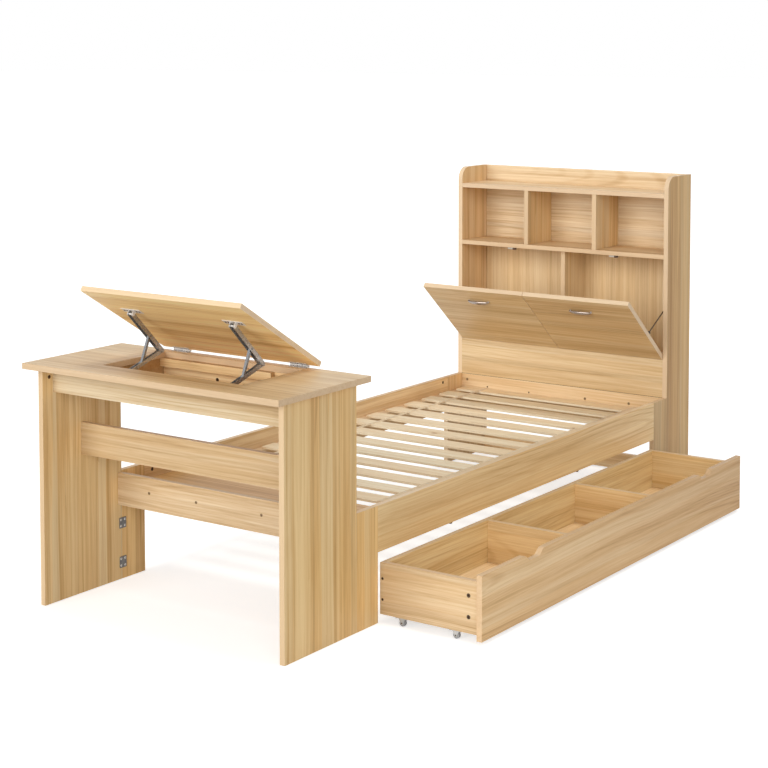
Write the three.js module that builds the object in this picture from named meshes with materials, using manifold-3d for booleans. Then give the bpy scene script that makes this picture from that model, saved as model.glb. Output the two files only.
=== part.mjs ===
// Single storage bed with a desk across its foot, a bookcase headboard and one rolling drawer.
// Lengths are in millimetres, angles in degrees. X runs across the bed, Y from the desk to the
// headboard, Z up. Pieces are placed from the bed's centre line (X), the front of the desk's side
// panels (Y) and the floor (Z). The last lines move the whole bed so that the middle of its
// footprint, with the drawer out, is at the origin.

import * as THREE from "three";
import { mergeVertices } from "three/addons/utils/BufferGeometryUtils.js";
import Module from "manifold-3d";

const wasm = await Module();
wasm.setup();

// Boards and fits
const board = 18;
const shelfBoard = 16;
const thinBoard = 6;
const gap = 0.3; // left between pieces that are screwed or pegged together
const overrun = 5; // how far a cutting solid passes the face it cuts

// Bed frame
const mattressWidth = 900;
const mattressLength = 2000;
const mattressSlack = 8;
const railTop = 352;
const railHeight = 140;
const legWidth = 106;
const ledgeWidth = 36;
const ledgeHeight = 30;
const endBoardDepth = 250; // the board behind the foot rail, flush with the slats
const slatCount = 14;
const slatWidth = 70;
const slatDrop = 52; // from the rails' top down to the slats
const slatThickness = 8;
const slatSideSlack = 18;
const slatHeadMargin = 2;
const slatFootGap = 58.4; // from the end board to the first slat
const strapReach = 333;
const strapWidth = 15;
const strapThickness = 1.6;
const strapRise = 0.6;

// Desk
const deskHeight = 750;
const deskSideOverhang = 20;
const deskDepth = 430;
const deskSideDepth = 338;
const deskFrontOverhang = 47;
const deskOpeningWidth = 538;
const deskOpeningDepth = 277;
const deskFrontStrip = 115;
const apronSetback = 43;
const apronHeight = 80;
const modestySetback = 160;
const modestyHeight = 100;
const modestyDrop = 194; // from the desk top's underside
const footRailHeight = 103;
const footRailDrop = 5; // from the side rails' top

// Compartment under the desk opening
const compartmentFloor = 9;
const compartmentSideSetback = 6;
const battenHeight = 25;
const battenShortfall = 110;

// Desk lid and its hinges
const lidWidth = 614;
const lidThickness = 16;
const lidAngle = 30.9;
const lidLift = 6; // closed lid's underside over the desk top
const lidBackSetback = 3;
const hingePinLift = 3.8;
const hingeKnuckleRadius = 3.5;
const hingeLeafThickness = 1.5;
const hingeLeafWidth = 68;
const hingeLeafDepth = 30;
const hingeInset = 76; // from the lid's edge to the middle of the hinge

// Lid stays, one at each side of the compartment
const stayInset = 72; // from the opening's edge to the middle of the stay
const stayPivotReach = 307; // from the lid's hinge pin to the stay's pivot on the lid
const stayPivotDrop = 11;
const stayUpperLength = 183;
const stayLowerLength = 178;
const stayBaseSetback = 7;
const stayBaseDrop = 9.6;
const staySheet = 1.5;
const stayUpperWidth = 16;
const stayUpperHeight = 14;
const stayLowerHeight = 12;
const stayWebStart = 14;
const stayPinRadius = 3;
const stayPinClearance = 0.4;
const stayRivetRadius = 5;
const stayRivetHead = 1.2;
const stayPlateWidth = 76;
const stayPlateDepth = 24;
const stayEarHeight = 13;
const stayLinkUpperReach = 74; // from the knee along the upper arm
const stayLinkLowerReach = 90; // from the knee along the lower arm
const stayLinkWidth = 8;
const stayLinkThickness = 8;
const stayLinkPinRadius = 2.5;

// Headboard
const headboardHeight = 1197;
const headboardDepth = 194;
const headboardCorner = 48;
const topShelfDrop = 65;
const middleShelfShare = 0.634; // of the height from the bay floor to the top shelf
const upperDividerReach = 153;
const centreDividerSetback = 29;
const lowerPanelHeight = 146;
const stretcherBottom = 4;
const stretcherHeight = 63;

// Flap doors
const doorAngle = 49.8;
const doorTopGap = 8.5;
const doorSideGap = 2;
const doorMiddleGap = 1;
const doorFloorGap = 0.5;
const handleLength = 96;
const handleStandoff = 22;
const handleThickness = 5;
const handleWidth = 10;
const handleDrop = 74.5; // from the door's top edge
const stayRodRadius = 2.25;
const stayRodLength = 165;
const stayRodSlope = 28.5;
const stayRodUp = 156;
const stayRodOffset = 6;
const stayRodInset = 5;
const stayEyeWidth = 5;
const stayStopRadius = 4;

// Rolling drawer
const drawerPullLength = 360;
const drawerDepth = 360;
const drawerFootGap = 2;
const drawerHeadGap = 20;
const drawerFrontLap = 8; // past the box at both ends
const drawerFrontBottom = 10;
const drawerRailGap = 9;
const drawerBoxDrop = 22; // from the front's top
const drawerDividerDrop = 2; // from the box's top
const drawerFloorTop = 43;
const dividerShares = [
  ["foot", 0.328],
  ["head", 0.661],
];
const notchDepth = 19;
const notchWidth = 122;
const notchRun = 40;
const notchInset = 295;
const casterHeight = 25;
const casterInset = 77;
const casterPlateWidth = 38;
const casterPlateThickness = 1.5;
const casterWheelRadius = 10.5;
const casterWheelWidth = 11;
const casterAxleRadius = 2;
const casterClearance = 0.4;
const casterCheekWidth = 14;

// Finish of each kind of piece
const oak = { color: 0xd9b07c, roughness: 0.55, metalness: 0 };
const pine = { color: 0xecd6b0, roughness: 0.7, metalness: 0 };
const steel = { color: 0x8d9196, roughness: 0.35, metalness: 0.9 };
const chrome = { color: 0xc9cbce, roughness: 0.15, metalness: 1 };
const darkSteel = { color: 0x4a4038, roughness: 0.4, metalness: 0.8 };
const greyPlastic = { color: 0x9a9a9a, roughness: 0.5, metalness: 0 };

// Planes that several pieces share
const insideHalf = (mattressWidth + mattressSlack) / 2;
const outsideHalf = insideHalf + board;
const footPlane = deskSideDepth;
const headPlane = footPlane + mattressLength + mattressSlack;
const endBoardBack = footPlane + endBoardDepth;
const railBottom = railTop - railHeight;
const slatTop = railTop - slatDrop;
const ledgeTop = slatTop - slatThickness - gap;
const deskHalfWidth = outsideHalf + deskSideOverhang;
const deskUnderside = deskHeight - board;
const deskBack = deskDepth - deskFrontOverhang;
const openingFront = deskFrontStrip - deskFrontOverhang;
const openingBack = openingFront + deskOpeningDepth;
const compartmentFront = apronSetback + board + gap;
const compartmentBottom = deskUnderside - apronHeight;
const headboardBack = headPlane + headboardDepth;
const shelfBack = headboardBack - thinBoard - gap;
const topShelfTop = headboardHeight - topShelfDrop;
const topShelfBottom = topShelfTop - shelfBoard;
const bayFloorTop = railTop + lowerPanelHeight;
const bayFloorBottom = bayFloorTop - board;
const middleShelfTop = bayFloorTop + middleShelfShare * (topShelfTop - bayFloorTop);
const middleShelfBottom = middleShelfTop - shelfBoard;
const doorHeight = middleShelfBottom - doorTopGap - bayFloorTop - doorFloorGap;
const drawerFrontTop = railBottom - drawerRailGap;
const drawerBoxTop = drawerFrontTop - drawerBoxDrop;
const drawerOutside = outsideHalf + drawerPullLength;
const drawerBack = drawerOutside - drawerDepth;
const drawerFrontInside = drawerOutside - board;
const drawerFoot = footPlane + legWidth + drawerFootGap;
const drawerHead = headPlane - legWidth - drawerHeadGap;
const boxFoot = drawerFoot + drawerFrontLap;
const boxHead = drawerHead - drawerFrontLap;

const sides = [
  ["left", -1],
  ["right", 1],
];

const bed = new THREE.Group();

// Adds one named piece to a group.
function piece(name, finish, geometry, parent = bed) {
  const mesh = new THREE.Mesh(geometry, new THREE.MeshStandardMaterial(finish));
  mesh.name = name;
  parent.add(mesh);
  return mesh;
}

// Adds a group turned about X, in degrees, at a place in its parent.
function turnedGroup(x, y, z, degrees, parent = bed) {
  const group = new THREE.Group();
  group.position.set(x, y, z);
  group.rotation.x = THREE.MathUtils.degToRad(degrees);
  parent.add(group);
  return group;
}

// A closed geometry as a solid that can be joined and cut.
function solidOf(geometry) {
  const bare = geometry.clone();
  bare.deleteAttribute("normal");
  bare.deleteAttribute("uv");
  const merged = mergeVertices(bare);
  const vertProperties = merged.attributes.position.array;
  const triVerts = new Uint32Array(merged.index.array);
  return new wasm.Manifold(new wasm.Mesh({ numProp: 3, vertProperties, triVerts }));
}

function geometryOf(solid) {
  const mesh = solid.getMesh();
  const geometry = new THREE.BufferGeometry();
  geometry.setAttribute("position", new THREE.BufferAttribute(mesh.vertProperties, 3));
  geometry.setIndex(new THREE.BufferAttribute(mesh.triVerts, 1));
  geometry.computeVertexNormals();
  return geometry;
}

function join(...geometries) {
  return geometryOf(geometries.map(solidOf).reduce((whole, next) => whole.add(next)));
}

function cut(geometry, ...tools) {
  const whole = solidOf(geometry);
  return geometryOf(tools.map(solidOf).reduce((left, tool) => left.subtract(tool), whole));
}

// A rectangular block between two corners, given in any order.
function block(a, b) {
  const size = a.map((value, i) => Math.abs(b[i] - value));
  const middle = a.map((value, i) => (value + b[i]) / 2);
  return new THREE.BoxGeometry(...size).translate(...middle);
}

// A shape drawn in Y and Z, extruded along X.
function acrossX(shape, x0, x1, curveSegments = 12) {
  const settings = { depth: x1 - x0, bevelEnabled: false, curveSegments };
  const geometry = new THREE.ExtrudeGeometry(shape, settings);
  const turn = new THREE.Matrix4().makeBasis(
    new THREE.Vector3(0, 1, 0),
    new THREE.Vector3(0, 0, 1),
    new THREE.Vector3(1, 0, 0),
  );
  return geometry.applyMatrix4(turn).translate(x0, 0, 0);
}

// A round bar along X.
function barX(radius, x0, x1, y = 0, z = 0, segments = 24) {
  const bar = new THREE.CylinderGeometry(radius, radius, Math.abs(x1 - x0), segments);
  return bar.rotateZ(Math.PI / 2).translate((x0 + x1) / 2, y, z);
}

// A round bar along Y.
function barY(radius, y0, y1, x = 0, z = 0, segments = 24) {
  const bar = new THREE.CylinderGeometry(radius, radius, Math.abs(y1 - y0), segments);
  return bar.translate(x, (y0 + y1) / 2, z);
}

// A flat bar with round ends: centre line from Y = 0 to Y = length, from X = x0 to X = x1.
function roundedBar(length, height, x0, x1) {
  const radius = height / 2;
  const shape = new THREE.Shape();
  shape.absarc(length, 0, radius, -Math.PI / 2, Math.PI / 2, false);
  shape.absarc(0, 0, radius, Math.PI / 2, (3 * Math.PI) / 2, false);
  return acrossX(shape, x0, x1, 8);
}

function makeBedFrame() {
  for (const [side, sign] of sides) {
    const inner = sign * insideHalf;
    const outer = sign * outsideHalf;
    piece(
      `foot_leg_${side}`,
      oak,
      block([inner, footPlane + gap, 0], [outer, footPlane + legWidth, railTop]),
    );
    piece(
      `head_leg_${side}`,
      oak,
      block([inner, headPlane - legWidth, 0], [outer, headPlane - gap, railTop]),
    );

    const railFoot = footPlane + legWidth + gap;
    const railHead = headPlane - legWidth - gap;
    const ledgeInner = sign * (insideHalf - ledgeWidth);
    const ledgeOuter = sign * (insideHalf - gap);
    const ledgeBottom = ledgeTop - ledgeHeight;
    const rail = block([inner, railFoot, railBottom], [outer, railHead, railTop]);
    const ledge = block(
      [ledgeInner, footPlane + gap, ledgeBottom],
      [ledgeOuter, headPlane - gap, ledgeTop],
    );
    const seat = sign * (insideHalf + board / 2);
    const glueLine = block([ledgeInner, railFoot, ledgeBottom], [seat, railHead, ledgeTop]);
    piece(`side_rail_${side}`, oak, join(rail, ledge, glueLine));
  }
  piece(
    "head_rail",
    oak,
    block(
      [-insideHalf + gap, headPlane, railBottom],
      [insideHalf - gap, headPlane + board, railTop - gap],
    ),
  );
  makeSlatBase();
}

function makeSlatBase() {
  const halfLength = insideHalf - slatSideSlack;
  const firstSlat = endBoardBack + slatFootGap;
  const run = headPlane - slatHeadMargin - slatWidth - firstSlat;
  const pitch = run / (slatCount - 1);
  const pieces = [];
  for (let i = 0; i < slatCount; i++) {
    const y = firstSlat + i * pitch;
    const low = [-halfLength, y, slatTop - slatThickness];
    pieces.push(block(low, [halfLength, y + slatWidth, slatTop]));
  }
  for (const [, sign] of sides) {
    const x = sign * strapReach;
    const low = [x - strapWidth / 2, firstSlat, slatTop + strapRise - strapThickness];
    const high = [x + strapWidth / 2, firstSlat + run + slatWidth, slatTop + strapRise];
    pieces.push(block(low, high));
  }
  piece("slat_base", pine, join(...pieces));
}

function makeDesk() {
  const top = new THREE.Shape();
  top.moveTo(-deskHalfWidth, -deskFrontOverhang);
  top.lineTo(deskHalfWidth, -deskFrontOverhang);
  top.lineTo(deskHalfWidth, deskBack);
  top.lineTo(-deskHalfWidth, deskBack);
  const opening = new THREE.Path();
  opening.moveTo(-deskOpeningWidth / 2, openingFront);
  opening.lineTo(-deskOpeningWidth / 2, openingBack);
  opening.lineTo(deskOpeningWidth / 2, openingBack);
  opening.lineTo(deskOpeningWidth / 2, openingFront);
  top.holes.push(opening);
  const topBoard = new THREE.ExtrudeGeometry(top, { depth: board, bevelEnabled: false });
  piece("desk_top", oak, topBoard.translate(0, 0, deskUnderside));

  for (const [side, sign] of sides) {
    const low = [sign * insideHalf, 0, 0];
    const high = [sign * outsideHalf, deskSideDepth, deskUnderside - gap];
    piece(`desk_side_${side}`, oak, block(low, high));
  }

  const reach = insideHalf - gap;
  const crossBoard = (name, front, bottom, height) =>
    piece(name, oak, block([-reach, front, bottom], [reach, front + board, bottom + height]));
  crossBoard("desk_apron", apronSetback, deskUnderside - apronHeight, apronHeight - gap);
  const modestyBottom = deskUnderside - modestyDrop - modestyHeight;
  crossBoard("modesty_board", modestySetback, modestyBottom, modestyHeight);
  makeFootRail();
  makeCompartment();
}

// The foot rail and the end board screwed to its back, which is rebated to lie on the ledges.
function makeFootRail() {
  const reach = insideHalf - gap;
  const bottom = railTop - footRailDrop - footRailHeight;
  const front = footPlane - board;
  const rail = block([-reach, front, bottom], [reach, footPlane, bottom + footRailHeight]);
  const seam = footPlane - board / 2;
  const overLedges = block([-reach, seam, ledgeTop + gap], [reach, endBoardBack, slatTop]);
  const between = insideHalf - ledgeWidth - gap;
  const low = [-between, seam, slatTop - shelfBoard];
  const betweenLedges = block(low, [between, endBoardBack, slatTop]);
  piece("foot_rail", oak, join(rail, overLedges, betweenLedges));
}

function makeCompartment() {
  const inner = deskOpeningWidth / 2 + compartmentSideSetback;
  const outer = inner + board;
  const back = openingBack + board;
  const top = deskUnderside - gap;
  const floorTop = compartmentBottom + compartmentFloor;
  const floor = block([-outer, compartmentFront, compartmentBottom], [outer, back, floorTop]);
  const leftWall = block([-outer, compartmentFront, compartmentBottom], [-inner, back, top]);
  const rightWall = block([inner, compartmentFront, compartmentBottom], [outer, back, top]);
  const backWall = block([-outer, openingBack, compartmentBottom], [outer, back, top]);
  const batten = block(
    [-inner - overrun, openingBack - board, top - battenHeight],
    [inner - battenShortfall, back, top],
  );
  piece("desk_compartment", oak, join(floor, leftWall, rightWall, backWall, batten));
}

// The place, in Y and Z, of a point of the lid given from its hinge pin with the lid closed.
function onRaisedLid(y, z) {
  const angle = THREE.MathUtils.degToRad(lidAngle);
  const turned = new THREE.Vector2(y, z).rotateAround(new THREE.Vector2(0, 0), -angle);
  return turned.add(new THREE.Vector2(deskBack, deskHeight + hingePinLift));
}

// Where two arms meet, on the headboard side of the line from their base to their tip.
function kneeOf(base, lowerLength, tip, upperLength) {
  const span = tip.clone().sub(base);
  const reach = span.length();
  const along = (lowerLength ** 2 - upperLength ** 2 + reach ** 2) / (2 * reach);
  const aside = Math.sqrt(lowerLength ** 2 - along ** 2);
  const unit = span.divideScalar(reach);
  const square = new THREE.Vector2(unit.y, -unit.x);
  return base.clone().addScaledVector(unit, along).addScaledVector(square, aside);
}

function makeLid() {
  const lid = turnedGroup(0, deskBack, deskHeight + hingePinLift, -lidAngle);
  const underside = lidLift - hingePinLift;
  const low = [-lidWidth / 2, -deskDepth, underside];
  const high = [lidWidth / 2, -lidBackSetback, underside + lidThickness];
  piece("desk_lid", oak, block(low, high), lid);
  for (const [side, sign] of sides) {
    makeHinge(side, sign * (lidWidth / 2 - hingeInset));
    makeStay(side, sign * (deskOpeningWidth / 2 - stayInset), lid, underside);
  }
}

// The knuckle and the leaf that is screwed to the desk top.
function makeHinge(side, x) {
  const left = x - hingeLeafWidth / 2;
  const right = x + hingeLeafWidth / 2;
  const pin = deskHeight + hingePinLift;
  const leafBottom = deskHeight + gap;
  const leaf = block(
    [left, deskBack - hingeLeafDepth, leafBottom],
    [right, deskBack, leafBottom + hingeLeafThickness],
  );
  const knuckle = barX(hingeKnuckleRadius, left, right, deskBack, pin);
  piece(`lid_hinge_${side}`, chrome, join(leaf, knuckle));
}

function makeStay(side, x, lid, underside) {
  const pivotHeight = underside - stayPivotDrop;
  const tip = onRaisedLid(-stayPivotReach, pivotHeight);
  const base = new THREE.Vector2(openingFront + stayBaseSetback, deskUnderside - stayBaseDrop);
  const knee = kneeOf(base, stayLowerLength, tip, stayUpperLength);
  const directionTo = (from, to) => THREE.MathUtils.radToDeg(Math.atan2(to.y - from.y, to.x - from.x));
  const alongLine = (from, to, distance) => from.clone().lerp(to, distance / from.distanceTo(to));

  makeLidBracket(side, x, lid, underside, pivotHeight);
  makeBaseBracket(side, x, base);
  const upper = turnedGroup(x, knee.x, knee.y, directionTo(knee, tip));
  makeUpperArm(side, upper);
  const lower = turnedGroup(x, knee.x, knee.y, directionTo(knee, base));
  makeLowerArm(side, lower);
  const linkTop = alongLine(knee, tip, stayLinkUpperReach);
  const linkBottom = alongLine(knee, base, stayLinkLowerReach);
  const link = turnedGroup(x, linkTop.x, linkTop.y, directionTo(linkTop, linkBottom));
  makeLink(side, link, linkTop.distanceTo(linkBottom));
}

// Half widths of the stay's parts, from the middle outwards.
const upperHalf = stayUpperWidth / 2;
const lowerHalf = upperHalf - staySheet - gap;
const lowerInnerHalf = lowerHalf - staySheet;
const earInner = upperHalf + gap;
const earOuter = earInner + staySheet;
const baseEarInner = lowerHalf + gap;
const baseEarOuter = baseEarInner + staySheet;

// A plate screwed under the lid, with two ears that hold the upper arm's pin.
function makeLidBracket(side, x, lid, underside, pivotHeight) {
  const bracket = turnedGroup(x, -stayPivotReach, 0, 0, lid);
  const plateTop = underside - gap;
  const plateBottom = plateTop - staySheet;
  const plate = block(
    [-stayPlateWidth / 2, -stayPlateDepth / 2, plateBottom],
    [stayPlateWidth / 2, stayPlateDepth / 2, plateTop],
  );
  const ears = sides.flatMap(([, sign]) => {
    const [x0, x1] = [sign * earInner, sign * earOuter].sort((a, b) => a - b);
    const round = barX(stayEarHeight / 2, x0, x1, 0, pivotHeight);
    const web = block([x0, -stayEarHeight / 2, pivotHeight], [x1, stayEarHeight / 2, plateTop]);
    return [round, web];
  });
  const headReach = earOuter + stayRivetHead;
  const pin = barX(stayPinRadius, -headReach, headReach, 0, pivotHeight);
  const heads = sides.map(([, sign]) =>
    barX(stayRivetRadius, sign * (earOuter - staySheet / 2), sign * headReach, 0, pivotHeight),
  );
  piece(`stay_lid_bracket_${side}`, steel, join(plate, ...ears, pin, ...heads), bracket);
}

// A plate on the back of the apron, with two ears beside the lower arm's end.
function makeBaseBracket(side, x, base) {
  const bracket = turnedGroup(x, 0, base.y, 0);
  const plateFront = compartmentFront;
  const plateBack = plateFront + staySheet;
  const earBack = base.x + stayLowerHeight / 2;
  const plate = block(
    [-baseEarOuter, plateFront, -stayEarHeight / 2],
    [baseEarOuter, plateBack, stayEarHeight / 2],
  );
  const ears = sides.map(([, sign]) =>
    block(
      [sign * baseEarInner, plateFront, -stayEarHeight / 2],
      [sign * baseEarOuter, earBack, stayEarHeight / 2],
    ),
  );
  const headStart = baseEarOuter - staySheet / 2;
  const headReach = baseEarOuter + stayRivetHead;
  const heads = sides.map(([, sign]) =>
    barX(stayRivetRadius, sign * headStart, sign * headReach, base.x),
  );
  piece(`stay_base_bracket_${side}`, steel, join(plate, ...ears, ...heads), bracket);
}

// The upper arm is a channel, open towards the lower arm, with the knee pin in its end.
function makeUpperArm(side, group) {
  const half = stayUpperHeight / 2;
  const inner = upperHalf - staySheet;
  const bar = roundedBar(stayUpperLength, stayUpperHeight, -upperHalf, upperHalf);
  const trough = block(
    [-inner, -half - overrun, -half + staySheet],
    [inner, stayUpperLength + half + overrun, half + overrun],
  );
  const past = half + overrun;
  const kneeSlot = block([-inner, -past, -past], [inner, stayWebStart, past]);
  const lidHoleRadius = stayPinRadius + stayPinClearance;
  const linkHoleRadius = stayLinkPinRadius + stayPinClearance;
  const cutReach = upperHalf + overrun;
  const lidHole = barX(lidHoleRadius, -cutReach, cutReach, stayUpperLength);
  const linkHole = barX(linkHoleRadius, -cutReach, cutReach, stayLinkUpperReach);
  const channel = cut(bar, trough, kneeSlot, lidHole, linkHole);
  const headReach = upperHalf + stayRivetHead;
  const pin = barX(stayPinRadius, -headReach, headReach);
  const heads = sides.map(([, sign]) =>
    barX(stayRivetRadius, sign * (upperHalf - staySheet / 2), sign * headReach),
  );
  piece(`stay_upper_arm_${side}`, steel, join(channel, pin, ...heads), group);
}

// The lower arm is a narrower channel that folds into the upper one.
function makeLowerArm(side, group) {
  const half = stayLowerHeight / 2;
  const bar = roundedBar(stayLowerLength, stayLowerHeight, -lowerHalf, lowerHalf);
  const trough = block(
    [-lowerInnerHalf, -half - overrun, -half - overrun],
    [lowerInnerHalf, stayLowerLength + half + overrun, half - staySheet],
  );
  const kneeSlot = block(
    [-lowerInnerHalf, -half - overrun, -half - overrun],
    [lowerInnerHalf, stayWebStart, half + overrun],
  );
  const holeRadius = stayPinRadius + stayPinClearance;
  const kneeHole = barX(holeRadius, -lowerHalf - overrun, lowerHalf + overrun);
  piece(`stay_lower_arm_${side}`, steel, cut(bar, trough, kneeSlot, kneeHole), group);
}

// The link is pinned to the upper arm, and its other end slides inside the lower arm.
function makeLink(side, group, length) {
  const half = stayLinkThickness / 2;
  const bar = roundedBar(length, stayLinkWidth, -half, half);
  const headReach = upperHalf + stayRivetHead;
  const topPin = barX(stayLinkPinRadius, -headReach, headReach);
  const sliderReach = lowerInnerHalf - gap;
  const slider = barX(stayLinkPinRadius, -sliderReach, sliderReach, length);
  piece(`stay_link_${side}`, steel, join(bar, topPin, slider), group);
}

function makeHeadboard() {
  const side = new THREE.Shape();
  const cornerY = headPlane + headboardCorner;
  const cornerZ = headboardHeight - headboardCorner;
  side.moveTo(headPlane, 0);
  side.lineTo(headboardBack, 0);
  side.lineTo(headboardBack, headboardHeight);
  side.absarc(cornerY, cornerZ, headboardCorner, Math.PI / 2, Math.PI, false);
  for (const [name, sign] of sides) {
    const [x0, x1] = [sign * insideHalf, sign * outsideHalf].sort((a, b) => a - b);
    piece(`headboard_side_${name}`, oak, acrossX(side, x0, x1, 10));
  }

  const reach = insideHalf - gap;
  const shelf = (name, front, top, thickness) =>
    piece(name, oak, block([-reach, front, top - thickness], [reach, shelfBack, top]));
  shelf("top_shelf", headPlane, topShelfTop, shelfBoard);
  shelf("middle_shelf", headPlane, middleShelfTop, shelfBoard);
  shelf("bay_floor", headPlane + board + gap, bayFloorTop, board);

  const upright = (name, x, front, bottom, top) =>
    piece(
      name,
      oak,
      block([x - board / 2, front, bottom + gap], [x + board / 2, shelfBack, top - gap]),
    );
  for (const [name, sign] of sides) {
    upright(`upper_divider_${name}`, sign * upperDividerReach, headPlane, middleShelfTop, topShelfBottom);
  }
  upright("bay_divider", 0, headPlane + centreDividerSetback, bayFloorTop, middleShelfBottom);

  piece(
    "lower_panel",
    oak,
    block([-reach, headPlane, railTop], [reach, headPlane + board, bayFloorTop - gap]),
  );
  piece(
    "back_panel",
    oak,
    block([-reach, headboardBack - thinBoard, bayFloorBottom], [reach, headboardBack, headboardHeight]),
  );
  const stretcherTop = stretcherBottom + stretcherHeight;
  piece(
    "back_stretcher",
    oak,
    block([-reach, headboardBack - board, stretcherBottom], [reach, headboardBack, stretcherTop]),
  );
}

// Each flap door turns on the front edge of the bay floor and is drawn tipped open.
function makeDoors() {
  for (const [side, sign] of sides) {
    const door = turnedGroup(0, headPlane, bayFloorTop, doorAngle);
    const nearEdge = sign * doorMiddleGap;
    const farEdge = sign * (insideHalf - doorSideGap);
    piece(
      `flap_door_${side}`,
      oak,
      block([nearEdge, 0, doorFloorGap], [farEdge, board, doorFloorGap + doorHeight]),
      door,
    );
    makeHandle(side, (nearEdge + farEdge) / 2, door);
    makeDoorStay(side, sign * (insideHalf - doorSideGap - stayRodInset), door);
  }
}

// A bow handle: half an oval ring standing on the door's outer face.
function makeHandle(side, x, door) {
  const outer = handleLength / 2;
  const bow = new THREE.Shape();
  bow.absellipse(0, 0, outer, handleStandoff, 0, Math.PI, false, 0);
  bow.absellipse(0, 0, outer - handleThickness, handleStandoff - handleThickness, Math.PI, 0, true, 0);
  const settings = { depth: handleWidth, bevelEnabled: false, curveSegments: 20 };
  const geometry = new THREE.ExtrudeGeometry(bow, settings);
  const middle = doorFloorGap + doorHeight - handleDrop;
  geometry.rotateZ(Math.PI).translate(x, -gap, middle - handleWidth / 2);
  piece(`door_handle_${side}`, chrome, geometry, door);
}

// A rod with an eye on the door and a ball at its free end. It runs through a guide on the
// headboard's side.
function makeDoorStay(side, x, door) {
  const group = turnedGroup(x, board + stayRodOffset, stayRodUp, stayRodSlope - doorAngle, door);
  const eye = barX(stayRodOffset - gap, -stayEyeWidth / 2, stayEyeWidth / 2);
  const rod = barY(stayRodRadius, 0, stayRodLength, 0, 0, 16);
  const ball = new THREE.SphereGeometry(stayStopRadius, 16, 10).translate(0, stayRodLength, 0);
  piece(`door_stay_${side}`, darkSteel, join(eye, rod, ball), group);
}

function makeDrawer() {
  const top = drawerFrontTop;
  const front = new THREE.Shape();
  front.moveTo(drawerFoot, drawerFrontBottom);
  front.lineTo(drawerHead, drawerFrontBottom);
  front.lineTo(drawerHead, top);
  for (const centre of [drawerHead - notchInset, drawerFoot + notchInset]) {
    const right = centre + notchWidth / 2;
    const left = centre - notchWidth / 2;
    const ease = notchRun / 2;
    const low = top - notchDepth;
    front.lineTo(right, top);
    front.bezierCurveTo(right - ease, top, right - ease, low, right - notchRun, low);
    front.lineTo(left + notchRun, low);
    front.bezierCurveTo(left + ease, low, left + ease, top, left, top);
  }
  front.lineTo(drawerFoot, top);
  piece("drawer_front", oak, acrossX(front, drawerFrontInside, drawerOutside, 8));

  const endBottom = casterHeight;
  const foot = boxFoot + board;
  const head = boxHead - board;
  const inFront = drawerFrontInside - gap;
  piece(
    "drawer_end_foot",
    oak,
    block([drawerBack, boxFoot, endBottom], [inFront, foot, drawerBoxTop]),
  );
  piece(
    "drawer_end_head",
    oak,
    block([drawerBack, head, endBottom], [inFront, boxHead, drawerBoxTop]),
  );
  piece(
    "drawer_back",
    oak,
    block([drawerBack, foot + gap, endBottom], [drawerBack + board, head - gap, drawerBoxTop]),
  );
  const inBack = drawerBack + board + gap;
  piece(
    "drawer_bottom",
    oak,
    block([inBack, foot + gap, drawerFloorTop - thinBoard], [inFront, head - gap, drawerFloorTop]),
  );
  const dividerTop = drawerBoxTop - drawerDividerDrop;
  for (const [name, share] of dividerShares) {
    const y = foot + share * (head - foot);
    const low = [inBack, y - board / 2, drawerFloorTop + gap];
    piece(`drawer_divider_${name}`, oak, block(low, [inFront, y + board / 2, dividerTop]));
  }

  const ends = [
    ["foot", boxFoot + board / 2],
    ["head", boxHead - board / 2],
  ];
  for (const [end, y] of ends) {
    makeCaster(`back_${end}`, drawerBack + casterInset, y);
    makeCaster(`front_${end}`, drawerFrontInside - casterInset, y);
  }
}

// A fixed caster under a drawer end: a fork with its axle, and a wheel that rolls along X.
function makeCaster(place, x, y) {
  const top = casterHeight - gap;
  const wheelHalf = casterWheelWidth / 2;
  const cheekInner = wheelHalf + casterClearance;
  const cheekOuter = cheekInner + casterPlateThickness;
  const plate = block(
    [x - casterPlateWidth / 2, y - cheekOuter, top - casterPlateThickness],
    [x + casterPlateWidth / 2, y + cheekOuter, top],
  );
  const cheekBottom = casterWheelRadius / 2;
  const cheeks = sides.map(([, sign]) =>
    block(
      [x - casterCheekWidth / 2, y + sign * cheekInner, cheekBottom],
      [x + casterCheekWidth / 2, y + sign * cheekOuter, top],
    ),
  );
  const axle = barY(casterAxleRadius, y - cheekOuter, y + cheekOuter, x, casterWheelRadius);
  piece(`caster_fork_${place}`, greyPlastic, join(plate, ...cheeks, axle));

  const boreRadius = casterAxleRadius + casterClearance;
  const wheel = barY(casterWheelRadius, y - wheelHalf, y + wheelHalf, x, casterWheelRadius, 40);
  const bore = barY(boreRadius, y - wheelHalf - overrun, y + wheelHalf + overrun, x, casterWheelRadius);
  piece(`caster_wheel_${place}`, greyPlastic, cut(wheel, bore));
}

makeBedFrame();
makeDesk();
makeLid();
makeHeadboard();
makeDoors();
makeDrawer();

const middleX = (drawerOutside - deskHalfWidth) / 2;
const middleY = (headboardBack - deskFrontOverhang) / 2;
bed.position.set(-middleX, -middleY, 0);

const part = new THREE.Group();
part.add(bed);

export default part;
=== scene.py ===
"""A single storage bed with a lift-top desk, a bookcase headboard and a rolling drawer.

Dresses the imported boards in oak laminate, adds the small fittings, and sets the floor, light and camera.
Places are given in millimetres: across from the bed's centre line, along the bed from the front of the
desk's side panels, and up from the floor.
"""

import math

import bmesh
import bpy
from mathutils import Matrix, Vector


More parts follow.
